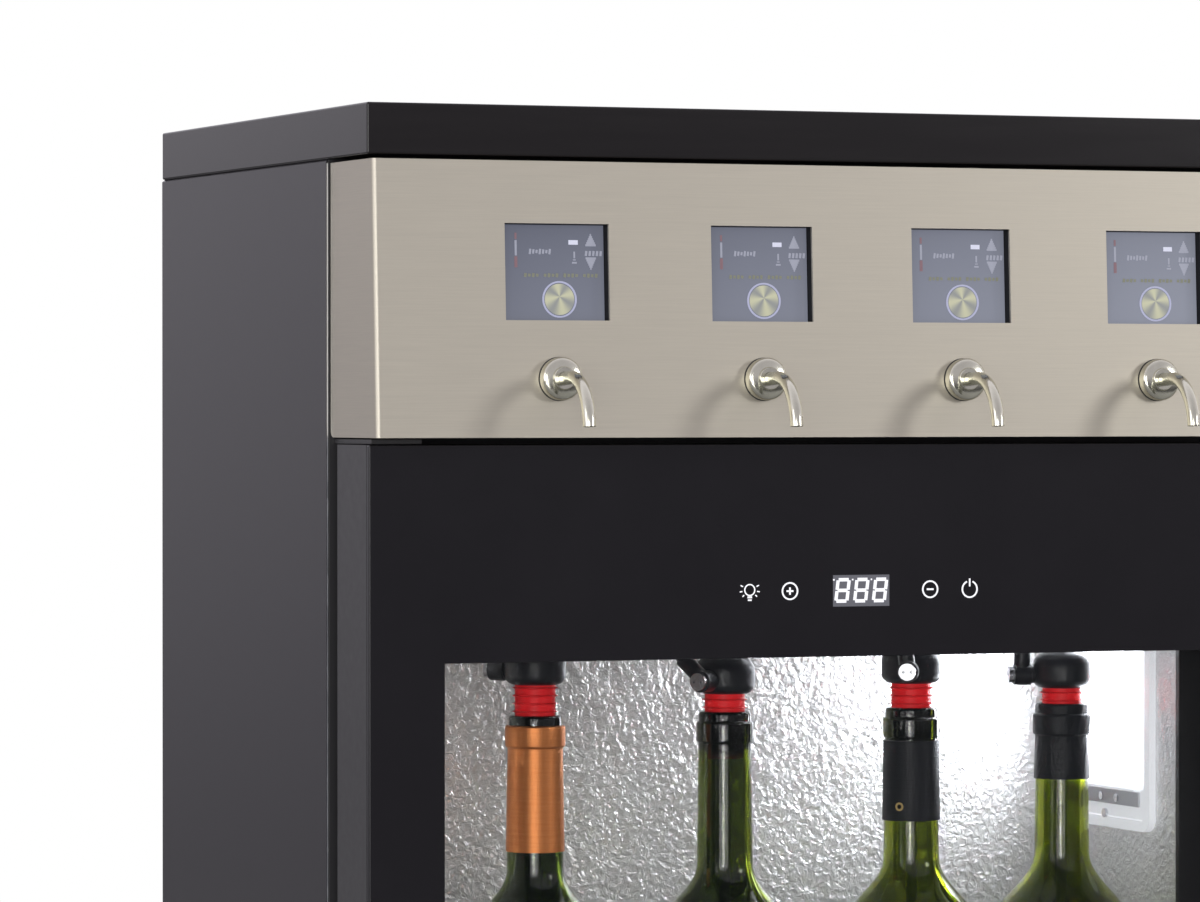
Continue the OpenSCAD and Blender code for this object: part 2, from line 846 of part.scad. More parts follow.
module banjo_bolts() {
  color([0.75, 0.75, 0.77])
    for (i = taps)
      at_elbow(i)
        difference() {
          union() {
            x_bar(bolt_d, -boss_out - bolt_in, eye_l + 1);
            x_bar(bolt_head_d, eye_l, eye_l + bolt_head_t);
          }
          for (y = [-2, 2])
            x_bar(1.2, eye_l + 1, eye_l + bolt_head_t + cut, y, 0);
        }
}

// ---------------------------------------------------------------- hoses

// Points of the spout's rear end, in the cabinet's frame
function band_y(y, z) = door_y - band_out + y * cos(band_lean) + z * sin(band_lean);
function band_up(y, z) = band_z - y * sin(band_lean) + z * cos(band_lean);

// From the cap to the ceiling, through the valve's jaw and over to the spout
function wine_route(i) = let (
  bx = bottle_x[i], tx = tap_x(i), z0 = cap_z(i) + cap_h + nipple_h,
  end_y = stem_l + barb_l)
  [[bx, bottle_y, z0],
    [bx, bottle_y, z0 + 12],
    [(3 * bx + tx) / 4, (3 * bottle_y + hose_y) / 4, z0 + 26],
    [(bx + 3 * tx) / 4, (bottle_y + 3 * hose_y) / 4, ceiling_z - 24],
    [tx, hose_y, ceiling_z - 10],
    [tx, hose_y, deck_top + valve_h],
    [tx, hose_y, deck_top + valve_h + 10],
    [tx, hose_y - 4, deck_top + valve_h + 20],
    [tx, hose_y - 14, deck_top + valve_h + 26],
    [tx, hose_y - 26, deck_top + valve_h + 23],
    [tx, hose_y - 34, deck_top + valve_h + 15],
    [tx, band_y(end_y + 18, tap_z), band_up(end_y + 18, tap_z) + 5],
    [tx, band_y(end_y + 8, tap_z), band_up(end_y + 8, tap_z)],
    [tx, band_y(end_y, tap_z), band_up(end_y, tap_z)]];

hose_sides = 10;
module wine_hoses() {
  color([0.04, 0.04, 0.04])
    for (i = taps)
      swept(wine_route(i), hose_d / 2, hose_sides);
}

// End of an elbow's barrel and its direction, in the cabinet's frame
function barrel_dir(i) = let (a = elbow_turn[i], s = -sin(elbow_lean[i]))
  [-sin(a) * s, cos(a) * s, cos(elbow_lean[i])];
function eye_mid(i) = let (r = cap_d / 2 + boss_out + eye_l / 2)
  [bottle_x[i] + r * cos(elbow_turn[i]), bottle_y + r * sin(elbow_turn[i]),
    cap_z(i) + elbow_up];
function gas_route(i) = let (
  p = eye_mid(i) + barrel_l * barrel_dir(i), q = p + 10 * barrel_dir(i),
  top = [gas_x[i], gas_y, ceiling_z - 14])
  [p, q, (2 * q + top) / 3 + [0, 0, 3], (q + 2 * top) / 3 - [0, 0, 2], top,
    [gas_x[i], gas_y, manifold_z]];

inlet_l = 24;          // length of the gas inlet inside the rear panel
collar_l = 6;          // length of the gas inlet behind the rear panel
socket_l = 16;         // depth of the gas inlet's bore for the supply hose
manifold_z = deck_top + 20;
supply_route = [
  [supply_x, rear_y - inlet_l, supply_z],
  [supply_x, rear_y - inlet_l - 16, supply_z],
  [supply_x, rear_y - inlet_l - 50, supply_z - 14],
  [supply_x, gas_y + manifold_s / 2 + 60, manifold_z + manifold_s / 2 + 4],
  [supply_x, gas_y + manifold_s / 2 + 20, manifold_z + manifold_s / 2],
  [supply_x, gas_y + manifold_s / 2, manifold_z + manifold_s / 2]];

module gas_hoses() {
  color([0.04, 0.04, 0.04]) {
    for (i = taps)
      swept(gas_route(i), hose_d / 2, hose_sides);
    swept(supply_route, hose_d / 2, hose_sides);
  }
}

// ---------------------------------------------------------------- valves

jaw_d = 16;            // depth of a valve's jaw in front of its coil
slot_play = 0.25;      // play of the hose in the jaw, on each side
plunger_gap = 0.3;     // gap between the plunger and the hose at rest

module pinch_valves() {
  jaw_mid = deck_top + valve_h / 2;
  back = hose_y + hose_d / 2 + plunger_gap;
  color([0.15, 0.15, 0.16])
    for (i = taps)
      difference() {
        translate([tap_x(i), 0, 0])
          mid_box(valve_w, hose_y - jaw_d / 2, hose_y + valve_l, deck_top, deck_top + valve_h);
        translate([tap_x(i), 0, 0])
          mid_box(hose_d + 2 * slot_play, hose_y - hose_d / 2 - slot_play,
            back + 1, deck_top - cut, deck_top + valve_h + cut);
        y_bar(plunger_d + 2 * fit, back, back + plunger_l + plunger_stroke + 2, tap_x(i),
          jaw_mid);
      }
}

module valve_plunger(i) {
  back = hose_y + hose_d / 2 + plunger_gap;
  color([0.7, 0.7, 0.72])
    y_bar(plunger_d, back, back + plunger_l, tap_x(i), deck_top + valve_h / 2);
}

bracket_x = 110;
module gas_manifold() {
  color([0.75, 0.62, 0.3])
    union() {
      mid_box(2 * 190, gas_y - manifold_s / 2, gas_y + manifold_s / 2, manifold_z,
        manifold_z + manifold_s);
      for (x = [-bracket_x, bracket_x])
        box(x - 8, x + 8, gas_y - manifold_s / 2, gas_y + manifold_s / 2, deck_top, manifold_z);
    }
}

module gas_inlet() {
  color([0.2, 0.3, 0.6])
    difference() {
      union() {
        y_bar(stem_d + 2 - 2 * fit, rear_y - inlet_l, rear_y + collar_l - 1, supply_x, supply_z);
        y_bar(stem_d + 8, rear_y, rear_y + collar_l - 2, supply_x, supply_z);
        y_bar(stem_d + 8, rear_y - sheet_t - 5, rear_y - sheet_t, supply_x, supply_z);
      }
      y_bar(supply_d + 2 * fit, rear_y + collar_l - 1 - socket_l, rear_y + collar_l, supply_x,
        supply_z);
      y_bar(hose_bore, rear_y - inlet_l - cut, rear_y, supply_x, supply_z);
    }
}

// ---------------------------------------------------------------- door

module door_frame() {
  color([0.07, 0.07, 0.08])
    difference() {
      mid_box(2 * door_x, door_y + pane_t, door_y + door_t, door_z, door_top);
      mid_box(2 * window_x, door_y, door_y + door_t + cut, window_low, window_top);
      mid_box(2 * (window_x + pane_lap), door_y + inner_seat, door_y + door_t + cut,
        window_low - pane_lap, window_top + pane_lap);
      translate([readout_shift, 0, 0])
        mid_box(readout_w, door_y, door_y + pane_t + readout_d,
          band_z - readout_down - readout_h / 2, band_z - readout_down + readout_h / 2);
      translate([hinge_x, hinge_y, door_z - cut])
        cylinder(d = pin_d + 2 * fit, h = pin_l + clear + cut);
      translate([hinge_x, hinge_y, door_top - pin_l - clear])
        cylinder(d = pin_d + 2 * fit, h = pin_l + clear + cut);
    }
}

module door_glass() {
  color([0.08, 0.08, 0.09, 0.5])
    mid_box(2 * door_x, door_y, door_y + pane_t, door_z, door_top);
}

module inner_glass() {
  color([0.5, 0.55, 0.55, 0.4])
    mid_box(2 * (window_x + pane_lap), door_y + inner_seat, door_y + inner_seat + pane_t,
      window_low - pane_lap, window_top + pane_lap);
}

gasket_in = 16;        // distance of the gasket from the cabinet's sides
gasket_low = 3;        // distance of the gasket above the door's lower edge
gasket_high = 22;      // distance of the gasket below the door's upper edge
module door_gasket() {
  color([0.1, 0.1, 0.1])
    difference() {
      mid_box(2 * (side_x - gasket_in), door_y + door_t, door_y + door_t + gasket_t,
        door_z + gasket_low, door_top - gasket_high);
      mid_box(2 * (side_x - gasket_in - gasket_w), door_y + door_t - cut,
        door_y + door_t + gasket_t + cut, door_z + gasket_low + gasket_w,
        door_top - gasket_high - gasket_w);
    }
}

digit_w = 30;
digit_h = 15.5;
module door_readout() {
  color([0.1, 0.1, 0.12])
    translate([readout_shift, 0, band_z - readout_down])
      union() {
        mid_box(readout_w, door_y + pane_t + readout_d - 2, door_y + pane_t + readout_d,
          -readout_h / 2, readout_h / 2);
        mid_box(digit_w, door_y + pane_t, door_y + pane_t + readout_d, -digit_h / 2, digit_h / 2);
      }
}

plate_x = 16;          // half width of a hinge bracket
module hinge_bracket() {
  // Bracket over the door; its pin points down
  union() {
    box(hinge_x - 10, hinge_x + plate_x, hinge_y - 9, panel_y, -bracket_t, 0);
    translate([hinge_x, hinge_y, -bracket_t - pin_l])
      cylinder(d = pin_d, h = pin_l + bracket_t);
  }
}

module hinge_brackets() {
  color([0.6, 0.6, 0.62]) {
    translate([0, 0, door_top + clear + bracket_t])
      hinge_bracket();
    translate([0, 0, door_z - clear - bracket_t])
      mirror([0, 0, 1])
        hinge_bracket();
  }
}

// ---------------------------------------------------------------- cooling

fin_t = 1.5;
fin_step = 5;
module heat_sink(w, y_base, y_fins) {
  // Base plate between y_base and the fins, which end at y_fins
  dir = y_fins > y_base ? 1 : -1;
  y0 = min(y_base, y_base + dir * sink_base);
  union() {
    mid_box(w, y0, y0 + sink_base, fan_z - w / 2, fan_z + w / 2);
    for (x = [-w / 2 : fin_step : w / 2 - fin_t])
      box(x, x + fin_t, min(y_fins, y_base), max(y_fins, y_base), fan_z - w / 2, fan_z + w / 2);
  }
}

module cold_sink() {
  color([0.7, 0.7, 0.72])
    union() {
      heat_sink(cold_w, wall_y, wall_y - sink_base - fin_depth);
      mid_box(block_w, wall_y - 1, foam_y, fan_z - block_w / 2, fan_z + block_w / 2);
    }
}

module hot_sink() {
  color([0.7, 0.7, 0.72])
    heat_sink(hot_w, foam_y, foam_y + sink_base + fin_depth);
}

cold_fan_y = wall_y - sink_base - fin_depth - fan_t;
hot_fan_y = foam_y + sink_base + fin_depth;
hub_share = 0.36;      // hub diameter as a share of the fan's duct
duct_rim = 3;          // wall of the fan frame round its duct
shaft_d = 4;
arm_t = 3;
blade_count = 7;
blade_t = 1.6;
blade_pitch = 40;      // angle of a blade to the fan's plane

function duct_d(w) = w - 2 * duct_rim;
function hub_d(w) = hub_share * duct_d(w);

module fan_frame(w, y0) {
  union() {
    difference() {
      mid_box(w, y0, y0 + fan_t, fan_z - w / 2, fan_z + w / 2);
      y_bar(duct_d(w), y0 - cut, y0 + fan_t + cut, 0, fan_z);
    }
    intersection() {
      y_bar(duct_d(w) + 2, y0, y0 + arm_t, 0, fan_z);
      union() {
        mid_box(6, y0, y0 + arm_t, fan_z - w / 2, fan_z + w / 2);
        mid_box(w, y0, y0 + arm_t, fan_z - 3, fan_z + 3);
        y_bar(hub_d(w), y0, y0 + arm_t, 0, fan_z);
      }
    }
    y_bar(shaft_d, y0 + arm_t - 1, y0 + fan_t - 4, 0, fan_z);
  }
}

module fan_frames() {
  color([0.08, 0.08, 0.08]) {
    fan_frame(cold_fan_w, cold_fan_y);
    fan_frame(hot_fan_w, hot_fan_y);
  }
}

module rotor(w, y0) {
  // Blades between the hub and the duct, clear of the frame's arms
  near = y0 + arm_t + clear;
  far = y0 + fan_t - 1;
  sweep = far - near;
  difference() {
    union() {
      y_bar(hub_d(w), near, far, 0, fan_z);
      intersection() {
        difference() {
          y_bar(duct_d(w) - 2, near, far, 0, fan_z);
          y_bar(hub_d(w) - 2, near - cut, far + cut, 0, fan_z);
        }
        for (k = [0 : blade_count - 1])
          translate([0, (near + far) / 2, fan_z])
            rotate([0, 360 * k / blade_count, 0])
              translate([hub_d(w) / 2 - 2, 0, 0])
                rotate([blade_pitch, 0, 0])
                  translate([0, -sweep, -blade_t / 2])
                    cube([w, 2 * sweep, blade_t]);
      }
    }
    y_bar(shaft_d + 2 * fit, near - cut, far - 2, 0, fan_z);
  }
}

module cold_fan() {
  color([0.1, 0.1, 0.1])
    rotor(cold_fan_w, cold_fan_y);
}

module hot_fan() {
  color([0.1, 0.1, 0.1])
    rotor(hot_fan_w, hot_fan_y);
}

cover_t = 1.5;
grille_slots = 9;
grille_step = 10;
module fan_cover() {
  w = cold_w + 2 * (cover_t + 1.5);
  color([0.8, 0.8, 0.82])
    difference() {
      mid_box(w, wall_y - cover_d, wall_y, fan_z - w / 2, fan_z + w / 2);
      mid_box(w - 2 * cover_t, wall_y - cover_d + cover_t, wall_y + cut,
        fan_z - w / 2 + cover_t, fan_z + w / 2 - cover_t);
      for (k = [-(grille_slots - 1) / 2 : (grille_slots - 1) / 2])
        mid_box(0.7 * w, wall_y - cover_d - cut, wall_y - cover_d + 2 * cover_t,
          fan_z + grille_step * k - 2, fan_z + grille_step * k + 2);
    }
}

// ---------------------------------------------------------------- lamp

lamp_y = door_y + 84;  // front edge of the lamp cover
lamp_drop = 9;         // distance of the lamp cover below the ceiling
lamp_z = ceiling_z - lamp_drop - lamp_h;
lamp_r = 8;
lamp_rim = 6;
module lamp_plate(x0, x1, inset, r) {
  y0 = lamp_y + inset;
  y1 = lamp_y + lamp_d - inset;
  z0 = lamp_z + inset;
  z1 = lamp_z + lamp_h - inset;
  union() {
    box(x0, x1, y0 + r, y1 - r, z0, z1);
    box(x0, x1, y0, y1, z0 + r, z1 - r);
    for (y = [y0 + r, y1 - r])
      for (z = [z0 + r, z1 - r])
        x_bar(2 * r, x0, x1, y, z);
  }
}

module lamp_cover() {
  color([0.95, 0.95, 0.95])
    difference() {
      lamp_plate(chamber_x - lamp_t, chamber_x, 0, lamp_r);
      difference() {
        lamp_plate(chamber_x - lamp_t - cut, chamber_x - lamp_t + 1, lamp_rim, lamp_r / 2);
        lamp_plate(chamber_x - lamp_t - 2 * cut, chamber_x, 3 * lamp_rim, lamp_r / 2);
      }
    }
}

// ---------------------------------------------------------------- electronics

board_up = 8;          // height of the control board above the deck
board_t = 1.6;
board_w = 180;
board_d = 90;
board_post = 8;        // distance of the board's posts from its edges
relay_w = 15.5;
relay_h = 16;
board_z = deck_top + board_up;
board_y = rear_y - 30 - board_d;
module control_board() {
  post_x = board_w / 2 - board_post;
  color([0.05, 0.35, 0.15])
    union() {
      mid_box(board_w, board_y, board_y + board_d, board_z, board_z + board_t);
      for (x = [-post_x, post_x])
        for (y = [board_y + board_post, board_y + board_d - board_post])
          translate([x, y, deck_top])
            cylinder(d = 6, h = board_up);
      for (k = [0 : tap_count - 1])
        box(2 * relay_w * (k - 2), 2 * relay_w * (k - 2) + relay_w, board_y + 10, board_y + 29,
          board_z, board_z + relay_h);
      box(-20, 2, board_y + 48, board_y + 70, board_z, board_z + 2 * board_t);
      box(40, 75, board_y + 55, board_y + 65, board_z, board_z + 12);
      for (x = [-70, -50])
        translate([x, board_y + 60, board_z])
          cylinder(d = 10, h = 18);
    }
}

psu_w = 160;           // width of the power supply
psu_d = 40;            // depth of the power supply
psu_h = 98;            // height of the power supply
psu_down = 92;         // distance of the power supply's top below the band
terminals = 6;
terminal_w = 8;
module power_supply() {
  psu_z = band_z - psu_down - psu_h;
  color([0.65, 0.66, 0.68])
    union() {
      mid_box(psu_w, rear_y - sheet_t - psu_d, rear_y - sheet_t, psu_z, psu_z + psu_h);
      for (k = [0 : terminals - 1])
        box(5 - psu_w / 2 + 1.5 * terminal_w * k, 5 - psu_w / 2 + (1.5 * k + 1) * terminal_w,
          rear_y - sheet_t - 30, rear_y - sheet_t - 18, psu_z + psu_h, psu_z + psu_h + 8);
    }
}

plug_w = inlet_w + 6;  // width of the inlet's body
switch_up = 30;        // height of the switch's middle above the inlet's middle
switch_z = inlet_z + switch_up;
inlet_low = inlet_z - inlet_h / 2 - 4;
inlet_high = switch_z + rocker_h / 2 + 5;
bezel_t = 3;
body_in = 24;          // depth of the inlet's body inside the rear panel
rocker_d = 9;          // depth of the rocker
rocker_pin_d = 3;
rocker_tilt = 7;       // tilt of the rocker in each of its two positions
rocker_play = 0.5;     // gap round the rocker in its bezel
rocker_y = rear_y - 3; // distance of the rocker's pin inside the rear panel

module mains_inlet() {
  color([0.06, 0.06, 0.06])
    difference() {
      union() {
        box(inlet_x - plug_w / 2 - 3, inlet_x + plug_w / 2 + 3, rear_y, rear_y + bezel_t,
          inlet_low - 3, inlet_high + 3);
        box(inlet_x - plug_w / 2, inlet_x + plug_w / 2, rear_y - body_in, rear_y, inlet_low,
          inlet_high);
      }
      difference() {
        box(inlet_x - inlet_w / 2, inlet_x + inlet_w / 2, rear_y - 16, rear_y + bezel_t + cut,
          inlet_z - inlet_h / 2, inlet_z + inlet_h / 2);
        for (p = [[0, 4], [-7, -3], [7, -3]])
          box(inlet_x + p[0] - 1, inlet_x + p[0] + 1, rear_y - 17, rear_y - 2,
            inlet_z + p[1] - 2, inlet_z + p[1] + 2);
      }
      box(inlet_x - rocker_w / 2 - rocker_play, inlet_x + rocker_w / 2 + rocker_play,
        rear_y - 14, rear_y + bezel_t + cut, switch_z - rocker_h / 2 - rocker_play,
        switch_z + rocker_h / 2 + rocker_play);
      x_bar(rocker_pin_d + 2 * fit, inlet_x - rocker_w / 2 - 3, inlet_x + rocker_w / 2 + 3,
        rocker_y, switch_z);
    }
}

module power_switch() {
  color([0.1, 0.1, 0.1])
    translate([inlet_x, rocker_y, switch_z])
      rotate([rocker_tilt, 0, 0])
        union() {
          rotate([90, 0, 90])
            translate([0, 0, -rocker_w / 2])
              linear_extrude(height = rocker_w)
                polygon([[-3, -rocker_h / 2 + 1.5], [-3, rocker_h / 2 - 1.5],
                  [rocker_d - 3, rocker_h / 2 - 0.6], [rocker_d - 5, 0],
                  [rocker_d - 3, -rocker_h / 2 + 0.6]]);
          x_bar(rocker_pin_d, -rocker_w / 2 - 2.5, rocker_w / 2 + 2.5);
        }
}

// ---------------------------------------------------------------- drip tray

tray_gap = 4;          // height of the tray above the counter
tray_top = tray_gap + tray_h;
tray_y = door_y - tray_reach;
tray_end = door_y + tray_tail;
wing = 6;              // width of the tray's side wings that run in the rails
ledge = 5;             // width of the ledge under the grille
grille_t = 1.5;
grille_back = 4;       // gap between the grille and the door's face

module drip_tray() {
  color([0.72, 0.72, 0.7])
    difference() {
      union() {
        mid_box(tray_w, tray_y, tray_end, tray_gap, tray_top);
        mid_box(tray_w + 2 * wing, door_y + 8, tray_end, tray_top - tray_t, tray_top);
      }
      mid_box(tray_w - 2 * tray_t, tray_y + tray_t, tray_end - tray_t, tray_gap + tray_t,
        tray_top - grille_t - tray_t);
      mid_box(tray_w - 2 * tray_t - 2 * ledge, tray_y + tray_t + ledge,
        tray_end - tray_t, tray_gap + tray_t, tray_top + cut);
      mid_box(tray_w - 2 * tray_t, tray_y + tray_t, tray_end - tray_t, tray_top - grille_t,
        tray_top + cut);
    }
}

module drip_grille() {
  w = tray_w - 2 * tray_t - 2 * clear;
  y0 = tray_y + tray_t + clear;
  y1 = door_y - grille_back;
  step = (w - 20) / slot_count;
  color([0.75, 0.73, 0.7])
    difference() {
      mid_box(w, y0, y1, tray_top - grille_t, tray_top);
      for (k = [0 : slot_count - 1])
        box(-w / 2 + 10 + step * (k + 0.25), -w / 2 + 10 + step * (k + 0.75), y0 + 10, y1 - 10,
          tray_top - grille_t - cut, tray_top + cut);
    }
}

rail_y = door_y + 10;  // front end of the tray's rails
module tray_rail() {
  x0 = tray_w / 2 + 1;
  x1 = tray_w / 2 + wing + clear;
  z1 = tray_top - tray_t - clear;
  box(x0, x1 + sheet_t, rail_y, tray_end + 2, z1 - sheet_t, z1);
  box(x1, x1 + sheet_t, rail_y, tray_end + 2, z1 - sheet_t,
    pan_top - sheet_t);
}

base_pan();
left_side_panel();
right_side_panel();
rear_panel();
top_cover();
front_frame();
inner_liner();
insulation();
valve_deck();
fascia();
feet();
casing_screws();
display(0);  // display_1
display(1);  // display_2
display(2);  // display_3
display(3);  // display_4
spout(0);  // spout_1
spout(1);  // spout_2
spout(2);  // spout_3
spout(3);  // spout_4
spout_fixings();
wine();
stopper_head(0);  // stopper_head_1
stopper_head(1);  // stopper_head_2
stopper_head(2);  // stopper_head_3
stopper_head(3);  // stopper_head_4
stopper_cones();
gas_elbows();
banjo_bolts();
dip_tubes();
wine_hoses();
gas_hoses();
bottles();
capsules();
pinch_valves();
valve_plunger(0);  // valve_plunger_1
valve_plunger(1);  // valve_plunger_2
valve_plunger(2);  // valve_plunger_3
valve_plunger(3);  // valve_plunger_4
gas_manifold();
gas_inlet();
door_frame();
door_glass();
inner_glass();
door_gasket();
door_readout();
hinge_brackets();
cold_sink();
hot_sink();
fan_frames();
cold_fan();
hot_fan();
fan_cover();
lamp_cover();
control_board();
power_supply();
mains_inlet();
power_switch();
drip_tray();
drip_grille();
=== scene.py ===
"""Counter-top wine dispenser for four bottles: its surfaces, fine pieces and studio.

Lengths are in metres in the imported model's frame: X across the front, -Y towards the
person pouring, +Z up. A size with the ending _mm is in millimetres.
"""
import json
import math

import bmesh
import bpy
from mathutils import Matrix, Vector


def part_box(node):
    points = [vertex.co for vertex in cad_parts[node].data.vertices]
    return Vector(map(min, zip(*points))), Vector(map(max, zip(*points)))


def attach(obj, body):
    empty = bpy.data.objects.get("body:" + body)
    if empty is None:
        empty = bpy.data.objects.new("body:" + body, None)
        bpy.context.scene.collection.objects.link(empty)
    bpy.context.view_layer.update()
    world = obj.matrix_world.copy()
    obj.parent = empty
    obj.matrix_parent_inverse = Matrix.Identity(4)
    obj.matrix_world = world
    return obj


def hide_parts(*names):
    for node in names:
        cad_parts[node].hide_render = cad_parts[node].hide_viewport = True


bl_info = {
    "name": "Wine dispenser",
    "version": (1, 0, 0),
    "blender": (4, 5, 0),
    "location": "3D View > Sidebar > Dispenser",
    "description": "Dresses the packed wine dispenser with its surfaces and fine pieces",
    "category": "Object",
}

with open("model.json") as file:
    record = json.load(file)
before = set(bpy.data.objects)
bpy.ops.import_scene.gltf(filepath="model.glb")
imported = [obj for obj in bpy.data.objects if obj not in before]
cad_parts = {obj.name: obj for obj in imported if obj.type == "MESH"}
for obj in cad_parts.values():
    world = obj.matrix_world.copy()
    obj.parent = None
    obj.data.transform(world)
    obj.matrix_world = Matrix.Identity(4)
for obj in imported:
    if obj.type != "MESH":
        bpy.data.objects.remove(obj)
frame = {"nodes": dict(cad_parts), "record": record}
NODES = frame["nodes"]
SLOT_OF = {s["node"]: s["material_slot"] for s in frame["record"]["subparts"]}
BODY_OF = {n: b for b, ns in frame["record"]["behaviour"]["bodies"].items() for n in ns}
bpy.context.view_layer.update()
MM = 0.001

# The control band's own frame: x across, z up its face, y = 0 on its front
BAND_LEAN = math.radians(2.6)
BAND_Y, BAND_Z = -0.131, 0.499
BAND = Matrix.Translation((0, BAND_Y, BAND_Z)) @ Matrix.Rotation(-BAND_LEAN, 4, "X")
TAPS = [-0.162, -0.054, 0.054, 0.162]
TAP_PITCH = 0.108
TAP_Z = 0.0284
SCREEN_W, SCREEN_H, SCREEN_Z, SCREEN_DEPTH = 0.054, 0.047, 0.0803, 0.007
BUTTON_X, BUTTON_Z = 0.0033, -0.0129  # middle of the round button from the screen's middle
BUTTON_HEIGHT = 0.5674  # the same point above the floor
DOOR_Y = -0.120
WINDOW = (0.2174, 0.090, 0.390)  # half width, lower edge, upper edge
CHAMBER_W = 0.42
LID_GAP = 0.0012  # how far the side panels' outer edges stay below the lid
SPOUT_REACH = 0.0026  # how far the spouts' tips reach below the solids' tips
BOTTLES = [-0.131, -0.027, 0.078, 0.165]
BOTTLE_Y, MOUTH_Z = -0.016, 0.358
CAPSULE_DOT = (0.0667, -0.0262, 0.3071)
FACING = Matrix.Rotation(math.pi / 2, 4, "X")  # turns what looks up towards the front
LAMP_Y, LAMP_LIT_HALF, LAMP_LIT_Z = 0.0145, 0.0405, 0.3145  # lit part of the lamp cover
AMBIENT = 0.6  # strength of the surroundings as light on the object
FLOOR_RADIUS, FLOOR_FADE_AT, FLOOR_FADE_WIDTH = 2.4, 1.75, 1.1
# name, diameter, place and aim of each lamp
LAMPS = (
    ("key", 0.8, (2.4, -2.5, 1.15), (0.0, -0.1, 0.5)),
    ("side", 1.6, (-2.7, -1.15, 0.9), (-0.2, 0.0, 0.5)),
    ("front", 2.2, (-1.6, -3.0, 0.25), (0.0, 0.0, 0.35)),
    ("rear", 1.8, (1.5, 2.8, 1.5), (0.0, 0.2, 0.3)),
)
STRIP_WIDTH, STRIP_HEIGHT, STRIP_PLACE = 0.5, 0.8, (-1.6, -2.9, 0.2)
CAMERA_PLACE = (-1.13163, -2.63361, 0.51499)
CAMERA_DOWN, CAMERA_TURN = 0.48, -21.59  # degrees
FOCAL_PIXELS, PICTURE_PIXELS, SENSOR_MM = 5546.8, 1200, 36.0


# -------------------- shader expressions


def maths(operation, swapped=False):
    """A method that adds a maths node for one of Python's operators."""
    def method(self, other=0.0):
        a, b = (other, self) if swapped else (self, other)
        return self.paint.node("Math", {0: a, 1: b}, operation=operation)

    return method


class Value:
    """A shader socket that takes Python's arithmetic."""

    def __init__(self, paint, socket):
        self.paint = paint
        self.socket = socket

    __add__ = __radd__ = maths("ADD")
    __sub__ = maths("SUBTRACT")
    __rsub__ = maths("SUBTRACT", swapped=True)
    __mul__ = __rmul__ = maths("MULTIPLY")
    __truediv__ = maths("DIVIDE")
    __gt__ = maths("GREATER_THAN")
    __lt__ = maths("LESS_THAN")
    __abs__ = maths("ABSOLUTE")
    power = maths("POWER")
    sine = maths("SINE")

    def clamp(self):
        return self.paint.node("Clamp", {"Value": self})

    def scaled(self, x, y, z):
        """This vector times the three factors."""
        return self.paint.node("VectorMath", {0: self, 1: (x, y, z)}, operation="MULTIPLY")


class Graph:
    """A node tree of a material or of the world."""

    def __init__(self, tree):
        self.tree = tree

    def node(self, kind, inputs, output=0, **settings):
        made = self.tree.nodes.new("ShaderNode" + kind)
        for key, value in settings.items():
            setattr(made, key, value)
        for key, value in inputs.items():
            if isinstance(value, Value):
                self.tree.links.new(value.socket, made.inputs[key])
            else:
                made.inputs[key].default_value = value
        return Value(self, made.outputs[output])

    def split(self):
        """The X, Y and Z of the coordinates."""
        parts = self.node("SeparateXYZ", {0: self.at})
        outs = parts.socket.node.outputs
        return [Value(self, outs[i]) for i in range(3)]

    def step(self, value, edge, soft):
        """0 below the edge and 1 above it, over a soft width."""
        return ((value - edge) / soft + 0.5).clamp()

    def mix(self, factor, a, b):
        """Colour a where factor is 0 and colour b where it is 1."""
        made = self.tree.nodes.new("ShaderNodeMix")
        made.data_type = "RGBA"
        for socket, value in zip((made.inputs[0], made.inputs[6], made.inputs[7]), (factor, a, b)):
            if isinstance(value, Value):
                self.tree.links.new(value.socket, socket)
            else:
                socket.default_value = (*value, 1.0)
        return Value(self, made.outputs[2])


class Paint(Graph):
    """A material with one Principled shader, whose patterns are written as expressions."""

    def __init__(self, name, colour, roughness, **constants):
        self.material = bpy.data.materials.new(name)
        self.material.use_nodes = True
        super().__init__(self.material.node_tree)
        self.shader = self.tree.nodes["Principled BSDF"]
        self.set("Base Color", (*colour, 1.0))
        self.set("Roughness", roughness)
        for key, value in constants.items():
            self.set(key.replace("_", " ").title().replace("Ior", "IOR"), value)
        self.material.diffuse_color = (*colour, 1.0)
        self.at = self.node("TexCoord", {}, "Object")

    def set(self, socket, value):
        target = self.shader.inputs[socket]
        if isinstance(value, Value):
            self.tree.links.new(value.socket, target)
        else:
            target.default_value = value

    def noise(self, scale, detail=2.0, vector=None, roughness=0.5, distortion=0.0):
        inputs = {
            "Vector": self.at if vector is None else vector, "Scale": scale, "Detail": detail,
            "Roughness": roughness, "Distortion": distortion,
        }
        return self.node("TexNoise", inputs)

    def ramp(self, value, stops):
        """The colour at a value between the stops of (position, colour)."""
        made = self.node("ValToRGB", {0: value})
        elements = made.socket.node.color_ramp.elements
        while len(elements) < len(stops):
            elements.new(0.5)
        for element, (position, colour) in zip(elements, stops):
            element.position = position
            element.color = (*colour, 1.0)
        return made

    def range(self, value, low, high):
        """A value between 0 and 1 turned into one between low and high."""
        return value * (high - low) + low

    def bump(self, height, distance, strength=1.0):
        inputs = {"Strength": strength, "Distance": distance, "Height": height}
        self.set("Normal", self.node("Bump", inputs))

    def base(self, factor, a, b):
        self.set("Base Color", self.mix(factor, a, b))

    def emit(self, factor, a, b):
        self.set("Emission Color", self.mix(factor, a, b))

    def rough(self, value, low, high):
        self.set("Roughness", self.range(value, low, high))

    def mottled(self, colour, spread):
        """Base colour that wanders a little to either side."""
        self.base(self.noise(60, 3.0), shade(colour, 1 - spread), shade(colour, 1 + spread))


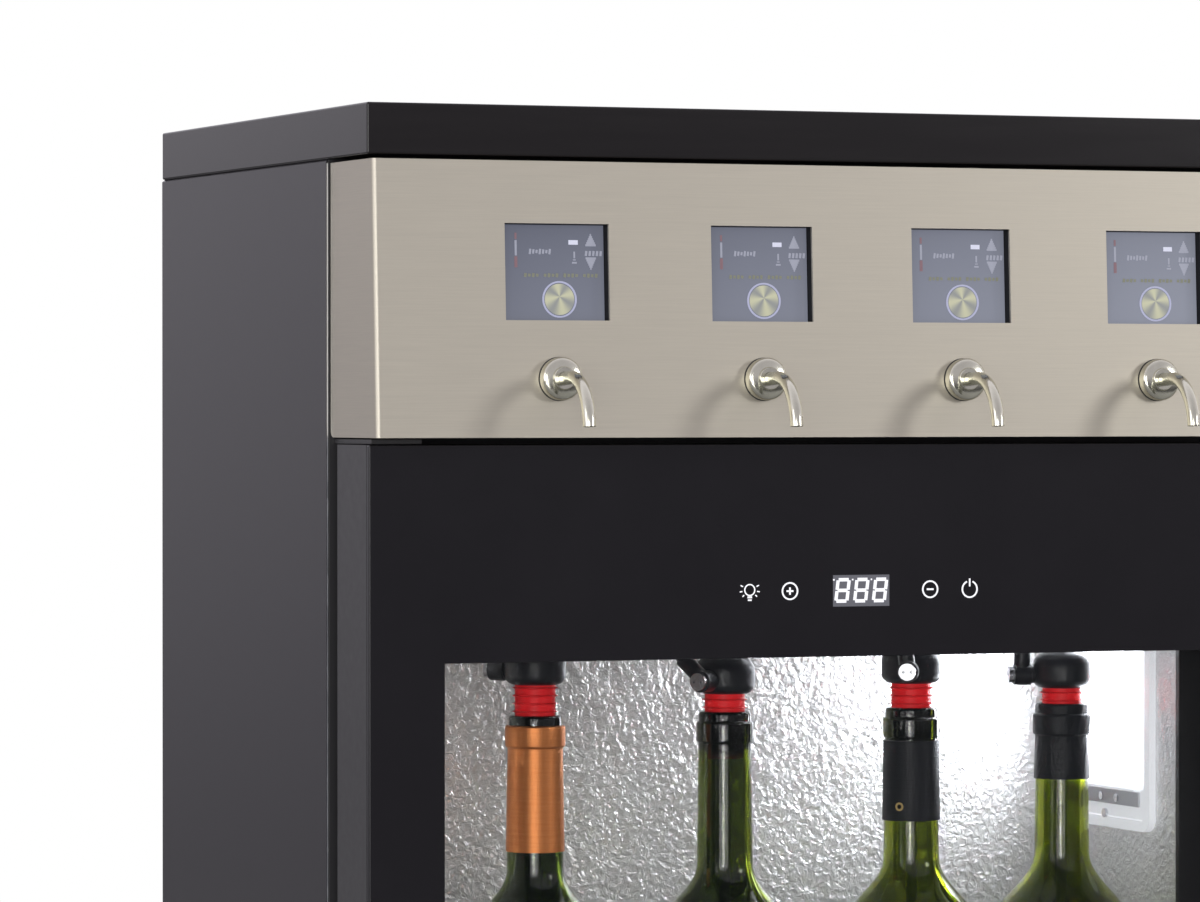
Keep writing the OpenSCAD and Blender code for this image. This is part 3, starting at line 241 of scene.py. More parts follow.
def shade(colour, factor):
    return tuple(min(1.0, c * factor) for c in colour)


# -------------------- surfaces


def powder_coat(name, colour, roughness, grain=700, depth=0.00004, specular=0.5):
    """Paint baked on sheet: a fine even grain and slightly uneven gloss."""
    p = Paint(name, colour, roughness, specular_ior_level=specular)
    p.mottled(colour, 0.04)
    p.rough(p.noise(180, 3), roughness - 0.02, roughness + 0.03)
    p.bump(p.noise(grain, 2) + p.noise(grain * 0.2, 1) * 0.6, depth)
    return p.material


def lid_board():
    """Board under satin black lacquer: the grain still shows faintly along X."""
    p = Paint("lid_board", (0.005, 0.004, 0.0045), 0.24, specular_ior_level=0.4)
    grain = p.noise(40, 4, p.at.scaled(0.35, 7, 7), 0.6)
    p.base(grain, (0.004, 0.003, 0.0035), (0.007, 0.0055, 0.006))
    p.rough(grain, 0.20, 0.27)
    p.bump(grain + p.noise(900, 1) * 0.3, 0.00002)
    return p.material


def embossed_aluminium():
    """Sheet with a rolled-in crazed relief, as the chamber's lining has."""
    p = Paint("embossed_aluminium", (0.92, 0.915, 0.90), 0.22, metallic=0.55)
    drift = p.node("TexNoise", {"Vector": p.at, "Scale": 90.0}, 1).scaled(0.006, 0.006, 0.006)
    warped = p.node("VectorMath", {0: p.at, 1: drift}, operation="ADD")
    spread = {"Vector": warped, "Scale": 250.0, "Smoothness": 0.35, "Randomness": 1.0}
    cells = p.node("TexVoronoi", spread, feature="SMOOTH_F1")
    ridges = p.noise(330, 3, warped, 0.55, 1.2)
    relief = cells * 0.8 + ridges * 1.3
    right = (p.split()[0] / CHAMBER_W + 0.5).clamp()  # 0 at the left wall and 1 at the right
    # Painted light: a warm tint at the left wall that turns bluish towards the lamp at the right,
    # and paler colour on the raised ridges as a painted highlight
    painted_light_tint = p.mix(right, (0.88, 0.865, 0.81), (0.85, 0.855, 0.87))
    p.base(ridges, painted_light_tint, (0.98, 0.975, 0.965))
    p.rough(p.noise(60, 2), 0.18, 0.28)
    p.bump(relief, 0.0006)
    return p.material


def brushed(name, colour, roughness, fine=1500):
    """Metal brushed along its length, which is X on the front and Y on the sides."""
    p = Paint(name, colour, roughness, metallic=1.0)
    x, y, z = p.split()
    along = p.node("CombineXYZ", {0: (x + y) * 28.0, 1: z * fine, 2: y * 9.0})
    streak = p.noise(1.0, 3, along, 0.6)
    wide = p.node("CombineXYZ", {0: (x + y) * 8.0, 1: z * fine * 0.3, 2: 0.0})
    both = streak * 0.8 + p.noise(1.0, 2, wide) * 0.2
    p.base(both, shade(colour, 0.88), shade(colour, 1.1))
    p.rough(both, roughness - 0.07, roughness + 0.1)
    p.bump(both, 0.000035)
    return p.material


def zinc_sheet():
    """Galvanised sheet with its patches of crystals."""
    p = Paint("zinc_sheet", (0.52, 0.53, 0.55), 0.4, metallic=1.0)
    spangle = p.node("TexVoronoi", {"Vector": p.at, "Scale": 120.0}, 1)
    tone = p.node("RGBToBW", {0: spangle})
    p.base(tone, (0.46, 0.47, 0.50), (0.58, 0.59, 0.61))
    p.rough(tone, 0.34, 0.50)
    return p.material


def plain_metal(name, colour, roughness, scale=300):
    """Bright metal with fine wear and finger-dulled patches."""
    p = Paint(name, colour, roughness, metallic=1.0)
    wear = p.noise(scale, 3)
    p.base(wear, shade(colour, 0.9), shade(colour, 1.06))
    p.rough(p.noise(scale * 0.2, 3), roughness - 0.04, roughness + 0.1)
    p.bump(wear, 0.00002)
    return p.material


def moulded(name, colour, roughness, grain=1400, depth=0.00003, specular=0.5):
    """Moulded plastic with a fine spark-eroded texture."""
    p = Paint(name, colour, roughness, specular_ior_level=specular)
    p.mottled(colour, 0.08)
    p.rough(p.noise(200, 3), roughness - 0.05, roughness + 0.08)
    p.bump(p.noise(grain, 2), depth)
    return p.material


def red_rubber():
    """Silicone of the stoppers, with a soft sheen."""
    p = Paint("red_rubber", (0.86, 0.012, 0.020), 0.46, specular_ior_level=0.2)
    p.base(p.noise(240, 3), (0.80, 0.010, 0.016), (0.92, 0.014, 0.022))
    p.rough(p.noise(500, 2), 0.40, 0.54)
    p.bump(p.noise(900, 2), 0.00003)
    return p.material


def green_glass():
    """Bottle glass: each bottle has its own green, with slight waves in the wall."""
    p = Paint("green_glass", (0.30, 0.42, 0.10), 0.03, transmission_weight=1.0, ior=1.5)
    x, _, z = p.split()
    greens = (
        (0.0, (0.09, 0.13, 0.014)), (0.34, (0.070, 0.110, 0.014)),
        (0.56, (0.20, 0.245, 0.012)), (0.80, (0.24, 0.285, 0.012)),
    )
    tone = p.ramp((x + CHAMBER_W / 2) / CHAMBER_W, greens)
    thick = p.step(z, MOUTH_Z - 0.021, 0.004)  # the ring and lip let less light through
    p.base(thick * 0.96, tone, (0.0, 0.0, 0.0))
    p.rough(p.noise(90, 2), 0.01, 0.05)
    p.bump(p.noise(38, 1), 0.0004, 0.5)
    return p.material


def wine_red():
    p = Paint("wine_red", (0.10, 0.004, 0.012), 0.05, transmission_weight=0.6, ior=1.34)
    p.rough(p.noise(20, 1), 0.02, 0.08)
    return p.material


def capsule_foil():
    """Copper foil on the first bottle, matt black on the third, creased black on the fourth."""
    p = Paint("capsule_foil", (0.5, 0.2, 0.08), 0.3, specular_ior_level=0.3)
    x = p.split()[0]
    first = x < -0.05
    fourth = x > 0.12
    lines = p.noise(1.0, 2, p.at.scaled(60, 60, 900))
    copper = p.mix(lines, (0.74, 0.235, 0.065), (0.88, 0.34, 0.115))
    p.base(first, (0.008, 0.0085, 0.013), copper)
    p.set("Metallic", first * 0.7)
    p.set("Roughness", 0.42 - first * 0.08 + lines * 0.06)
    creases = p.noise(70, 3, p.at.scaled(1, 1, 0.45), 0.5, 1.4)
    p.bump(creases * fourth * 8.0 + lines * 0.3, 0.0003)
    return p.material


def clear_tube():
    p = Paint("clear_tube", (0.80, 0.83, 0.86), 0.15, alpha=0.35, ior=1.45)
    p.rough(p.noise(300, 2), 0.1, 0.25)
    return p.material


def door_pane():
    """Toughened glass with a printed black border round its clear window."""
    p = Paint("door_pane", (0.012, 0.011, 0.013), 0.16, specular_ior_level=0.3)
    x, _, z = p.split()
    inside = (
        p.step(WINDOW[0] - abs(x), 0.0, 0.0004)
        * p.step(z - WINDOW[1], 0.0, 0.0004)
        * p.step(WINDOW[2] - z, 0.0, 0.0004)
    )
    p.base(p.noise(30, 3), (0.0080, 0.0074, 0.0092), (0.0108, 0.0100, 0.0122))
    p.set("Roughness", p.range(p.noise(18, 3), 0.12, 0.20) * (1 - inside))
    p.set("Alpha", 1 - inside * 0.93)
    return p.material


def inner_pane():
    p = Paint("inner_pane", (0.03, 0.04, 0.036), 0.03, alpha=0.06)
    p.rough(p.noise(25, 2), 0.01, 0.06)
    return p.material


def lamp_plastic():
    """Clear moulded lamp cover, frosted inside and lit from behind."""
    p = Paint("lamp_opal", (0.90, 0.92, 0.95), 0.22, emission_strength=1.0)
    _, y, z = p.split()
    lit = p.step(LAMP_LIT_HALF - abs(y - LAMP_Y), 0.0, 0.005) * p.step(z, LAMP_LIT_Z, 0.006)
    p.emit(lit, (0.40, 0.41, 0.43), (6.0, 6.2, 6.6))
    p.rough(p.noise(400, 2), 0.15, 0.3)
    p.bump(p.noise(260, 2), 0.0001)
    return p.material


def lamp_light():
    """The row of light-emitting diodes behind the lamp cover."""
    p = Paint("lamp_light", (1.0, 1.0, 1.0), 0.4, emission_strength=1.0)
    chips = ((p.split()[2] * 520.0).sine() * 0.5 + 0.5).clamp()
    p.emit(chips, (24.0, 25.0, 27.0), (54.0, 56.0, 60.0))
    return p.material


def board_green():
    """Circuit board: copper tracks under green mask."""
    p = Paint("board_green", (0.01, 0.12, 0.04), 0.35)
    tracks = ((p.noise(90, 2) * 60.0).sine() > 0.4) * 1.0
    p.base(tracks, (0.008, 0.10, 0.035), (0.02, 0.20, 0.07))
    p.bump(tracks, 0.0001)
    return p.material


def foam():
    """Rigid foam with its open cells."""
    p = Paint("foam", (0.78, 0.72, 0.52), 0.9)
    cells = p.node("TexVoronoi", {"Vector": p.at, "Scale": 700.0})
    p.base(cells, (0.66, 0.60, 0.42), (0.84, 0.79, 0.60))
    p.bump(cells, 0.0004)
    return p.material


def display_glass():
    """Backlit liquid crystal behind glass: bluish grey, paler towards the right and the lower edge
    as a painted sheen.
    """
    colour = (0.14, 0.15, 0.20)
    p = Paint("display_glass", colour, 0.22, specular_ior_level=0.4, emission_strength=1.0)
    x, _, z = p.split()
    high = ((z - 0.555) / 0.05).clamp()
    right = ((x + 0.2) / 0.4).clamp()
    # Painted sheen: the panels grow paler towards the right and the lower edge, in colour and glow
    # alike
    tone = (1 - high) * 0.35 + right * 0.65
    p.base(tone, (0.05, 0.054, 0.072), (0.09, 0.096, 0.12))
    p.emit(tone, (0.070, 0.075, 0.100), (0.185, 0.195, 0.235))
    p.rough(p.noise(300, 2), 0.18, 0.28)
    return p.material


def glow(name, colour):
    """A lit sign or segment, a little uneven over its face."""
    p = Paint(name, shade(colour, 0.2), 0.4, emission_strength=1.0)
    p.emit(p.noise(900, 2), shade(colour, 0.85), colour)
    return p.material


def gold_button():
    """The round touch button: brushed sectors of gold that turn from light to dark."""
    p = Paint("gold_button", (0.5, 0.5, 0.25), 0.35, emission_strength=1.0)
    x, _, z = p.split()
    wave = (x * math.tau / TAP_PITCH).sine()  # one turn for each tap
    from_left = x + 3 * TAP_PITCH - BUTTON_X
    across = p.node("Math", {0: from_left, 1: TAP_PITCH}, operation="MODULO") - TAP_PITCH / 2
    up = z - BUTTON_HEIGHT
    angle = p.node("Math", {0: up, 1: across}, operation="ARCTAN2")
    sectors = (angle * 4.0 + 0.7).sine() * 0.5 + 0.5
    p.base(sectors, (0.12, 0.12, 0.11), (0.18, 0.175, 0.12))
    p.emit(sectors, (0.16, 0.17, 0.175), (0.36, 0.36, 0.26))
    p.rough(wave * 0.5 + 0.5, 0.3, 0.4)
    return p.material


def make_surfaces():
    """Every surface by its name: those of the record's slots and of the new pieces."""
    own = (
        lid_board, embossed_aluminium, foam, zinc_sheet, wine_red, red_rubber, clear_tube,
        green_glass, capsule_foil, door_pane, lamp_plastic, board_green, inner_pane, lamp_light,
        display_glass, gold_button,
    )
    made = {maker.__name__: maker() for maker in own}
    for maker, name, *values in (
        (powder_coat, "black_paint", (0.020, 0.019, 0.021), 0.42),
        (powder_coat, "charcoal_paint", (0.018, 0.0165, 0.020), 0.24, 900, 0.000012, 0.3),
        (brushed, "brushed_band", (0.55, 0.512, 0.432), 0.46),
        (brushed, "brass_bar", (0.72, 0.52, 0.22), 0.3),
        (brushed, "fin_aluminium", (0.66, 0.67, 0.69), 0.34, 900),
        (brushed, "tray_steel", (0.58, 0.57, 0.55), 0.34),
        (plain_metal, "screw_steel", (0.66, 0.66, 0.69), 0.2),
        (plain_metal, "polished_steel", (0.66, 0.645, 0.545), 0.13, 220),
        (moulded, "rubber_black", (0.012, 0.012, 0.013), 0.55, 500, 0.00005),
        (moulded, "display_plastic", (0.003, 0.003, 0.004), 0.5, 1400, 0.00003, 0.2),
        (moulded, "cap_plastic", (0.010, 0.0105, 0.016), 0.36, 900, 0.00002),
        (moulded, "fitting_plastic", (0.03, 0.10, 0.36), 0.4),
        (moulded, "frame_plastic", (0.020, 0.019, 0.021), 0.34),
        (moulded, "light_plastic", (0.58, 0.59, 0.61), 0.45),
        (glow, "pale_glow", (0.95, 0.95, 1.0)),
        (glow, "screen_bright", (0.60, 0.61, 0.74)),
        (glow, "screen_pale", (0.30, 0.31, 0.38)),
        (glow, "screen_ring", (0.38, 0.39, 0.54)),
        (glow, "screen_gold", (0.18, 0.185, 0.14)),
        (glow, "screen_red", (0.20, 0.115, 0.135)),
        (glow, "digit_dim", (0.11, 0.11, 0.13)),
    ):
        made[name] = maker(name, *values)
    return made


SURFACES = {}


# -------------------- mesh helpers


def absorb(whole, part):
    """Moves the second bmesh into the first."""
    mesh = bpy.data.meshes.new("part")
    part.to_mesh(mesh)
    part.free()
    whole.from_mesh(mesh)
    bpy.data.meshes.remove(mesh)


def round_off(bm, geom, offset, segments, affect="EDGES"):
    """Rounds edges, or corners, and returns the new vertices."""
    return bmesh.ops.bevel(
        bm, geom=geom, offset=offset, offset_type="OFFSET", affect=affect,
        segments=segments, profile=0.5, material=-1, clamp_overlap=True,
    )["verts"]


def finish_piece(name, bm, surface, body="cabinet", stands_for=(), crease=35.0):
    """The bmesh as an object that rides on its body, smooth up to the crease angle."""
    bmesh.ops.remove_doubles(bm, verts=bm.verts, dist=1e-7)
    for face in bm.faces:
        face.smooth = True
    for edge in bm.edges:
        if len(edge.link_faces) != 2 or edge.calc_face_angle(0.0) > math.radians(crease):
            edge.smooth = False
    mesh = bpy.data.meshes.new(name)
    bm.to_mesh(mesh)
    bm.free()
    piece = bpy.data.objects.new(name, mesh)
    bpy.context.scene.collection.objects.link(piece)
    mesh.materials.append(SURFACES[surface])
    weighted = piece.modifiers.new("Even shading", "WEIGHTED_NORMAL")
    weighted.keep_sharp = True
    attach(piece, body)
    if stands_for:
        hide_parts(*stands_for)
    return piece


def add_box(bm, low, high, edge=0.0, segments=2):
    """A box between two corners, its edges rounded where an edge radius is given."""
    low, high = Vector(low), Vector(high)
    made = bmesh.ops.create_cube(bm, size=1.0)["verts"]
    bmesh.ops.scale(bm, vec=high - low, verts=made)
    bmesh.ops.translate(bm, vec=(low + high) / 2, verts=made)
    if edge:
        edges = list({e for v in made for e in v.link_edges})
        made = round_off(bm, edges, edge, segments)
    return made


def box_piece(name, low, high, surface, body="cabinet", edge=0.0, segments=2, stands_for=()):
    """A box as a piece of its own."""
    bm = bmesh.new()
    add_box(bm, low, high, edge, segments)
    finish_piece(name, bm, surface, body, stands_for)


def add_disc(bm, centre, radius, depth, inner=0.0, sides=40, turn=None):
    """A disc or ring facing -Y unless turned, standing depth in front of its centre."""
    outer = bmesh.ops.create_circle(bm, cap_ends=not inner, radius=radius, segments=sides)["verts"]
    loop = list({e for v in outer for e in v.link_edges})
    verts = list(outer)
    if inner:
        hole = bmesh.ops.create_circle(bm, cap_ends=False, radius=inner, segments=sides)["verts"]
        loop += list({e for v in hole for e in v.link_edges})
        bmesh.ops.bridge_loops(bm, edges=loop)
        verts += hole
    faces = list({f for v in verts for f in v.link_faces})
    grown = bmesh.ops.extrude_face_region(bm, geom=faces)["geom"]
    top = [g for g in grown if isinstance(g, bmesh.types.BMVert)]
    bmesh.ops.translate(bm, vec=(0, 0, depth), verts=top)
    place = Matrix.Translation(centre) @ (turn or FACING)
    bmesh.ops.transform(bm, matrix=place, verts=verts + top)


def spun(bm, chains, centre, steps):
    """Outlines of (radius, height) turned about Z, the last one's end joined to the first."""
    verts, edges = [], []
    for chain in chains:
        new = [bm.verts.new((r, 0.0, z)) for r, z in chain]
        edges += [bm.edges.new((a, b)) for a, b in zip(new, new[1:])]
        verts += new
    edges.append(bm.edges.new((verts[-1], verts[0])))
    bmesh.ops.spin(
        bm, geom=verts + edges, cent=(0, 0, 0), axis=(0, 0, 1), angle=math.tau, steps=steps,
        use_merge=True, use_normal_flip=False, use_duplicate=False,
    )
    bmesh.ops.remove_doubles(bm, verts=bm.verts, dist=1e-6)
    bmesh.ops.dissolve_degenerate(bm, edges=bm.edges, dist=1e-7)
    bmesh.ops.recalc_face_normals(bm, faces=bm.faces)
    bmesh.ops.translate(bm, vec=centre, verts=bm.verts)


def refined(node, edge=0.0004, crease=32.0, segments=2, surface=None):
    """A merged copy of a CAD node with its edges slightly rounded, in the node's place."""
    bm = bmesh.new()
    bm.from_mesh(NODES[node].data)
    bmesh.ops.remove_doubles(bm, verts=bm.verts, dist=2e-6)
    bmesh.ops.dissolve_degenerate(bm, edges=bm.edges, dist=1e-6)
    if edge:
        bmesh.ops.dissolve_limit(
            bm, angle_limit=math.radians(0.4), verts=bm.verts, edges=bm.edges,
            use_dissolve_boundaries=False, delimit={"NORMAL"},
        )
        sharp = [
            e for e in bm.edges
            if len(e.link_faces) == 2 and abs(e.calc_face_angle(0.0)) > math.radians(50)
        ]
        round_off(bm, sharp, edge, segments)
    return finish_piece(
        node + "_finished", bm, surface or SLOT_OF[node], BODY_OF[node], (node,), crease
    )


# -------------------- sizes and colours


def millimetres(name, description, default, low, high):
    return bpy.props.FloatProperty(
        name=name, description=description + ", in millimetres", default=default, min=low, max=high
    )


def watts(name, description, default):
    return bpy.props.FloatProperty(
        name=name, description="Power of the " + description, default=default, min=0.0, unit="POWER"
    )


class DispenserSizes(bpy.types.PropertyGroup):
    band_edge_mm: millimetres("Band edge", "Rounding of the control band's bends", 2.4, 0.5, 4.0)
    lid_edge_mm: millimetres("Lid edge", "Rounding of the lid's edges", 1.0, 0.2, 4.0)
    pane_edge_mm: millimetres("Door pane edge", "Ground edge of the door's pane", 0.7, 0.2, 1.5)
    sheet_edge_mm: millimetres("Sheet edge", "Rounding of the sheet pieces", 0.4, 0.1, 0.6)
    icon_mm: millimetres("Icon", "Diameter of the icons in the door", 8.9, 6.0, 11.0)


class StudioLight(bpy.types.PropertyGroup):
    key_power: watts("Key lamp", "lamp in front on the right", 19.0)
    side_power: watts("Side lamp", "lamp on the left", 13.0)
    front_power: watts("Front lamp", "large low lamp in front", 54.0)
    rear_power: watts("Rear lamp", "lamp behind on the right", 26.0)
    strip_power: watts("Strip lamp", "upright lamp mirrored in the bottles", 26.0)
    floor_colour: bpy.props.FloatVectorProperty(
        name="Floor", description="Colour of the studio's floor", subtype="COLOR",
        default=(0.82, 0.82, 0.82), min=0.0, max=1.0,
    )


def sizes():
    return bpy.context.scene.dispenser_sizes


# -------------------- studio


def add_lamp(name, power, size, place, aim):
    """A round soft lamp that points from its place to its aim."""
    data = bpy.data.lights.new(name, "AREA")
    data.shape = "DISK"
    data.energy = power
    data.size = size
    lamp = bpy.data.objects.new(name, data)
    lamp.location = place
    lamp.rotation_euler = (Vector(aim) - Vector(place)).to_track_quat("-Z", "Y").to_euler()
    bpy.context.scene.collection.objects.link(lamp)
    return lamp


class DISPENSER_OT_stage(bpy.types.Operator):
    """Floor, lamps, plain white surroundings and the photograph's camera"""

    bl_idname = "dispenser.stage"
    bl_label = "Studio"

    def execute(self, context):
        light = context.scene.dispenser_light
        self.floor(context, light)
        self.surroundings(context)
        for name, size, place, aim in LAMPS:
            lamp = add_lamp(name + "_lamp", getattr(light, name + "_power"), size, place, aim)
            lamp.visible_glossy = name != "rear"  # the lid would mirror it as a white patch
        self.camera(context)
        return {"FINISHED"}

    def floor(self, context, light):
        """A pale disc that fades into the white surroundings."""
        bm = bmesh.new()
        bmesh.ops.create_circle(bm, cap_ends=True, radius=FLOOR_RADIUS, segments=96)
        mesh = bpy.data.meshes.new("studio_floor")
        bm.to_mesh(mesh)
        bm.free()
        floor = bpy.data.objects.new("studio_floor", mesh)
        context.scene.collection.objects.link(floor)
        colour = tuple(light.floor_colour)
        p = Paint("studio_floor", colour, 0.7)
        mirrored = p.node("LightPath", {}, "Is Glossy Ray")
        p.base(mirrored, colour, shade(colour, 0.4))
        white = p.node("Emission", {0: (1.0, 1.0, 1.0, 1.0), 1: 1.0})
        x, y, _ = p.split()
        far = p.step((x * x + y * y).power(0.5), FLOOR_FADE_AT, FLOOR_FADE_WIDTH)
        seen = p.node("LightPath", {}, "Is Camera Ray")
        both = p.node("MixShader", {0: (far * 0.6 + 0.4) * seen, 2: white})
        p.tree.links.new(p.shader.outputs[0], both.socket.node.inputs[1])
        out = p.tree.nodes["Material Output"]
        p.tree.links.new(both.socket, out.inputs["Surface"])
        mesh.materials.append(p.material)

    def surroundings(self, context):
        """White all round for the camera; in reflections, dimmer in front and below."""
        world = bpy.data.worlds.new("studio")
        context.scene.world = world
        world.use_nodes = True
        world.node_tree.nodes.clear()
        g = Graph(world.node_tree)
        g.at = g.node("TexCoord", {}, "Generated")
        _, y, z = g.split()
        front = g.step(0 - y, 0.35, 0.9)
        mirrored = (1 - front * 0.42) * (g.step(z, 0.01, 0.30) * 0.9 + 0.08)
        camera = g.node("LightPath", {}, "Is Camera Ray")
        through = g.node("LightPath", {}, "Is Transmission Ray")
        glossy = g.node("LightPath", {}, "Is Glossy Ray")
        clear = (camera + through).clamp()
        strength = clear + (1 - clear) * (glossy * mirrored + (1 - glossy) * AMBIENT)
        colour = g.mix(glossy, (1.0, 1.0, 1.0), (1.0, 0.965, 1.055))
        light = g.node("Background", {0: colour, 1: strength})
        out = world.node_tree.nodes.new("ShaderNodeOutputWorld")
        world.node_tree.links.new(light.socket, out.inputs[0])

    def camera(self, context):
        data = bpy.data.cameras.new("camera")
        data.sensor_width = SENSOR_MM
        data.lens = FOCAL_PIXELS / PICTURE_PIXELS * SENSOR_MM
        data.clip_start = 0.05
        data.clip_end = 50.0
        camera = bpy.data.objects.new("camera", data)
        camera.location = CAMERA_PLACE
        turn = (math.radians(90 - CAMERA_DOWN), 0.0, math.radians(CAMERA_TURN))
        camera.rotation_euler = turn
        context.scene.collection.objects.link(camera)
        context.scene.camera = camera


# -------------------- casing


class DISPENSER_OT_casing(bpy.types.Operator):
    """Lid, side and rear panels, base pan, front frame, feet and screws"""

    bl_idname = "dispenser.casing"
    bl_label = "Casing"

    def execute(self, context):
        low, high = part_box("top_cover")
        lid_edge = sizes().lid_edge_mm * MM
        box_piece("lid_finished", low, high, "lid_board", "cabinet", lid_edge, 3, ("top_cover",))
        edge = sizes().sheet_edge_mm * MM
        for node in ("base_pan", "front_frame"):
            refined(node, edge)
        for node in ("left_side_panel", "right_side_panel"):
            panel = refined(node, 0.0007, segments=3)
            for v in panel.data.vertices:
                if v.co.z > low.z - 0.0015 and abs(v.co.x) > high.x - 0.0009:
                    v.co.z -= LID_GAP
        # Strips of bare zinc along the two side panels' front edges, seen in the gap beside the
        # door: partly the bare sheet edge, partly a painted highlight on the panels' edges
        low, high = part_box("left_side_panel")
        bm = bmesh.new()
        for x in (low.x + 0.0006, -low.x - 0.0006):
            add_box(bm, (x - 0.0003, low.y - 0.0002, low.z + 0.001),
                    (x + 0.0003, low.y + 0.0004, high.z - 0.002))
        finish_piece("panel_cut_edges", bm, "zinc_sheet")
        refined("rear_panel", 0.0)
        refined("feet", 0.001, segments=3)
        refined("casing_screws", 0.0006, segments=3)
        refined("hinge_brackets", edge)
        return {"FINISHED"}


# -------------------- control band


def cut_windows(bm, across, up):
    """Cuts the faces along the openings' edges, which the caller then takes out."""
    def split(point, normal):
        geom = bm.verts[:] + bm.edges[:] + bm.faces[:]
        bmesh.ops.bisect_plane(bm, geom=geom, plane_co=point, plane_no=normal, dist=1e-7)

    for x in across:
        split((x, 0, 0), (1, 0, 0))
    for z in up:
        split(BAND @ Vector((0, 0, z)), BAND.to_3x3() @ Vector((0, 0, 1)))


class DISPENSER_OT_band(bpy.types.Operator):
    """Brushed control band with its four openings, and the display housings"""

    bl_idname = "dispenser.band"
    bl_label = "Control band"

    def execute(self, context):
        low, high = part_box("fascia")
        bm = bmesh.new()
        rear_gap, side_gap, corner, sheet = 0.0015, 0.0018, 0.004, 0.0015
        back = high.y - rear_gap  # stays in front of the side panels
        inset = Vector((side_gap, 0, 0))
        add_box(bm, low + inset, Vector((high.x, back, high.z)) - inset)
        lean = (high.z - low.z) * math.tan(BAND_LEAN)
        for v in bm.verts:
            if v.co.y < low.y + 1e-4 and v.co.z > high.z - 1e-4:
                v.co.y += lean
        bmesh.ops.delete(
            bm, geom=[f for f in bm.faces if f.normal.z > 0.9 or f.normal.y > 0.9], context="FACES"
        )
        bends = []
        for e in bm.edges:
            a, b = (v.co for v in e.verts)
            if abs(a.z - b.z) > 0.1 and (a.y + b.y) / 2 < low.y + 0.01:
                bends.append(e)
        round_off(bm, bends, sizes().band_edge_mm * MM, 5)
        lower = [v for v in bm.verts if v.co.y > back - 1e-5 and v.co.z < low.z + 1e-5]
        round_off(bm, lower, corner, 5, "VERTICES")
        half_w, half_h = SCREEN_W / 2, SCREEN_H / 2
        cut_windows(
            bm,
            [x + side * half_w for x in TAPS for side in (-1, 1)],
            [SCREEN_Z - half_h, SCREEN_Z + half_h],
        )
        gone = []
        for face in bm.faces:
            at = BAND.inverted() @ face.calc_center_median()
            if abs(at.y) < 0.001 and abs(at.z - SCREEN_Z) < half_h:
                if any(abs(at.x - x) < half_w for x in TAPS):
                    gone.append(face)
        bmesh.ops.delete(bm, geom=gone, context="FACES")
        bmesh.ops.recalc_face_normals(bm, faces=bm.faces)
        bmesh.ops.solidify(bm, geom=bm.faces[:], thickness=sheet)
        finish_piece("control_band", bm, "brushed_band", "cabinet", ("fascia",), 30)
        for k in range(4):
            refined(f"display_{k + 1}", 0.0003)
        return {"FINISHED"}


class DISPENSER_OT_displays(bpy.types.Operator):
    """Liquid crystal panels with their gauge, arrows, strokes and round button"""

    bl_idname = "dispenser.displays"
    bl_label = "Displays"

    def execute(self, context):
        for k, x in enumerate(TAPS):
            self.display(k + 1, x)
        return {"FINISHED"}

    def on_screen(self, bm, tap):
        place = BAND @ Matrix.Translation((tap, SCREEN_DEPTH, SCREEN_Z))
        bmesh.ops.transform(bm, matrix=place, verts=bm.verts)

    def plates(self, name, tap, surface, parts, lift=0.0004):
        """Thin printed shapes on the panel: boxes (x, z, width, height, turn)."""
        bm = bmesh.new()
        for x, z, w, h, turn in parts:
            made = add_box(bm, (-w / 2, -0.0003, -h / 2), (w / 2, 0.0, h / 2))
            place = Matrix.Translation((x, -lift, z)) @ Matrix.Rotation(math.radians(turn), 4, "Y")
            bmesh.ops.transform(bm, matrix=place, verts=made)
        for v in bm.verts:
            v.co.x *= MM
            v.co.z *= MM
        self.on_screen(bm, tap)
        finish_piece(name, bm, surface)

    def display(self, number, tap):
        bm = bmesh.new()
        add_box(
            bm, (-SCREEN_W / 2 + 0.0002, -0.0004, -SCREEN_H / 2 + 0.0002),
            (SCREEN_W / 2 - 0.0002, 0.0, SCREEN_H / 2 - 0.0002),
        )
        self.on_screen(bm, tap)
        finish_piece(f"screen_{number}", bm, "display_glass")
        # Marks as (x, z, width, height, turn), in millimetres and degrees
        red = [(-19.0, 17.8, 1.0, 3.0, 0), (-19.0, 5.2, 1.5, 5.4, 0)]
        bright = [(10.9, 14.9, 4.8, 2.2, 0)]
        gold = [
            (-14.2 + 2.05 * i, -1.2, 1.3, 1.9 - 0.5 * (i % 2), 8) for i in range(19) if i % 5 != 4
        ]
        pale = [(-19.0, 12.0, 1.0, 7.4, 0)]
        pale += [(-11.6 + 1.7 * i, 10.3, 1.0, 2.6 - 0.5 * (i % 3), 8) for i in range(7)]
        pale += [(11.4, 8.8, 0.8, 3.2, 0), (11.4, 5.0, 2.4, 0.8, 0), (11.4, 6.4, 1.4, 0.5, 0)]
        pale += [(17.6 + 1.9 * i, 9.6, 1.1, 2.4, 8) for i in range(5)]
        for z, way in ((13.6, 1), (7.2, -1)):
            for i in range(6):
                pale.append((20.0, z + way * i * 1.0, 5.4 - i * 0.95, 1.0, 0))
        for name, surface, marks in (
            ("marks", "screen_pale", pale), ("pill", "screen_bright", bright),
            ("strokes", "screen_gold", gold), ("gauge", "screen_red", red),
        ):
            self.plates(f"screen_{name}_{number}", tap, surface, marks)
        for name, surface, radius, depth, inner in (
            ("round_button", "gold_button", 0.0076, 0.0005, 0.0),
            ("button_ring", "screen_ring", 0.0089, 0.0006, 0.0081),
        ):
            bm = bmesh.new()
            add_disc(bm, (BUTTON_X, -0.0004, BUTTON_Z), radius, depth, inner, 48)
            self.on_screen(bm, tap)
            finish_piece(f"{name}_{number}", bm, surface)


# -------------------- taps


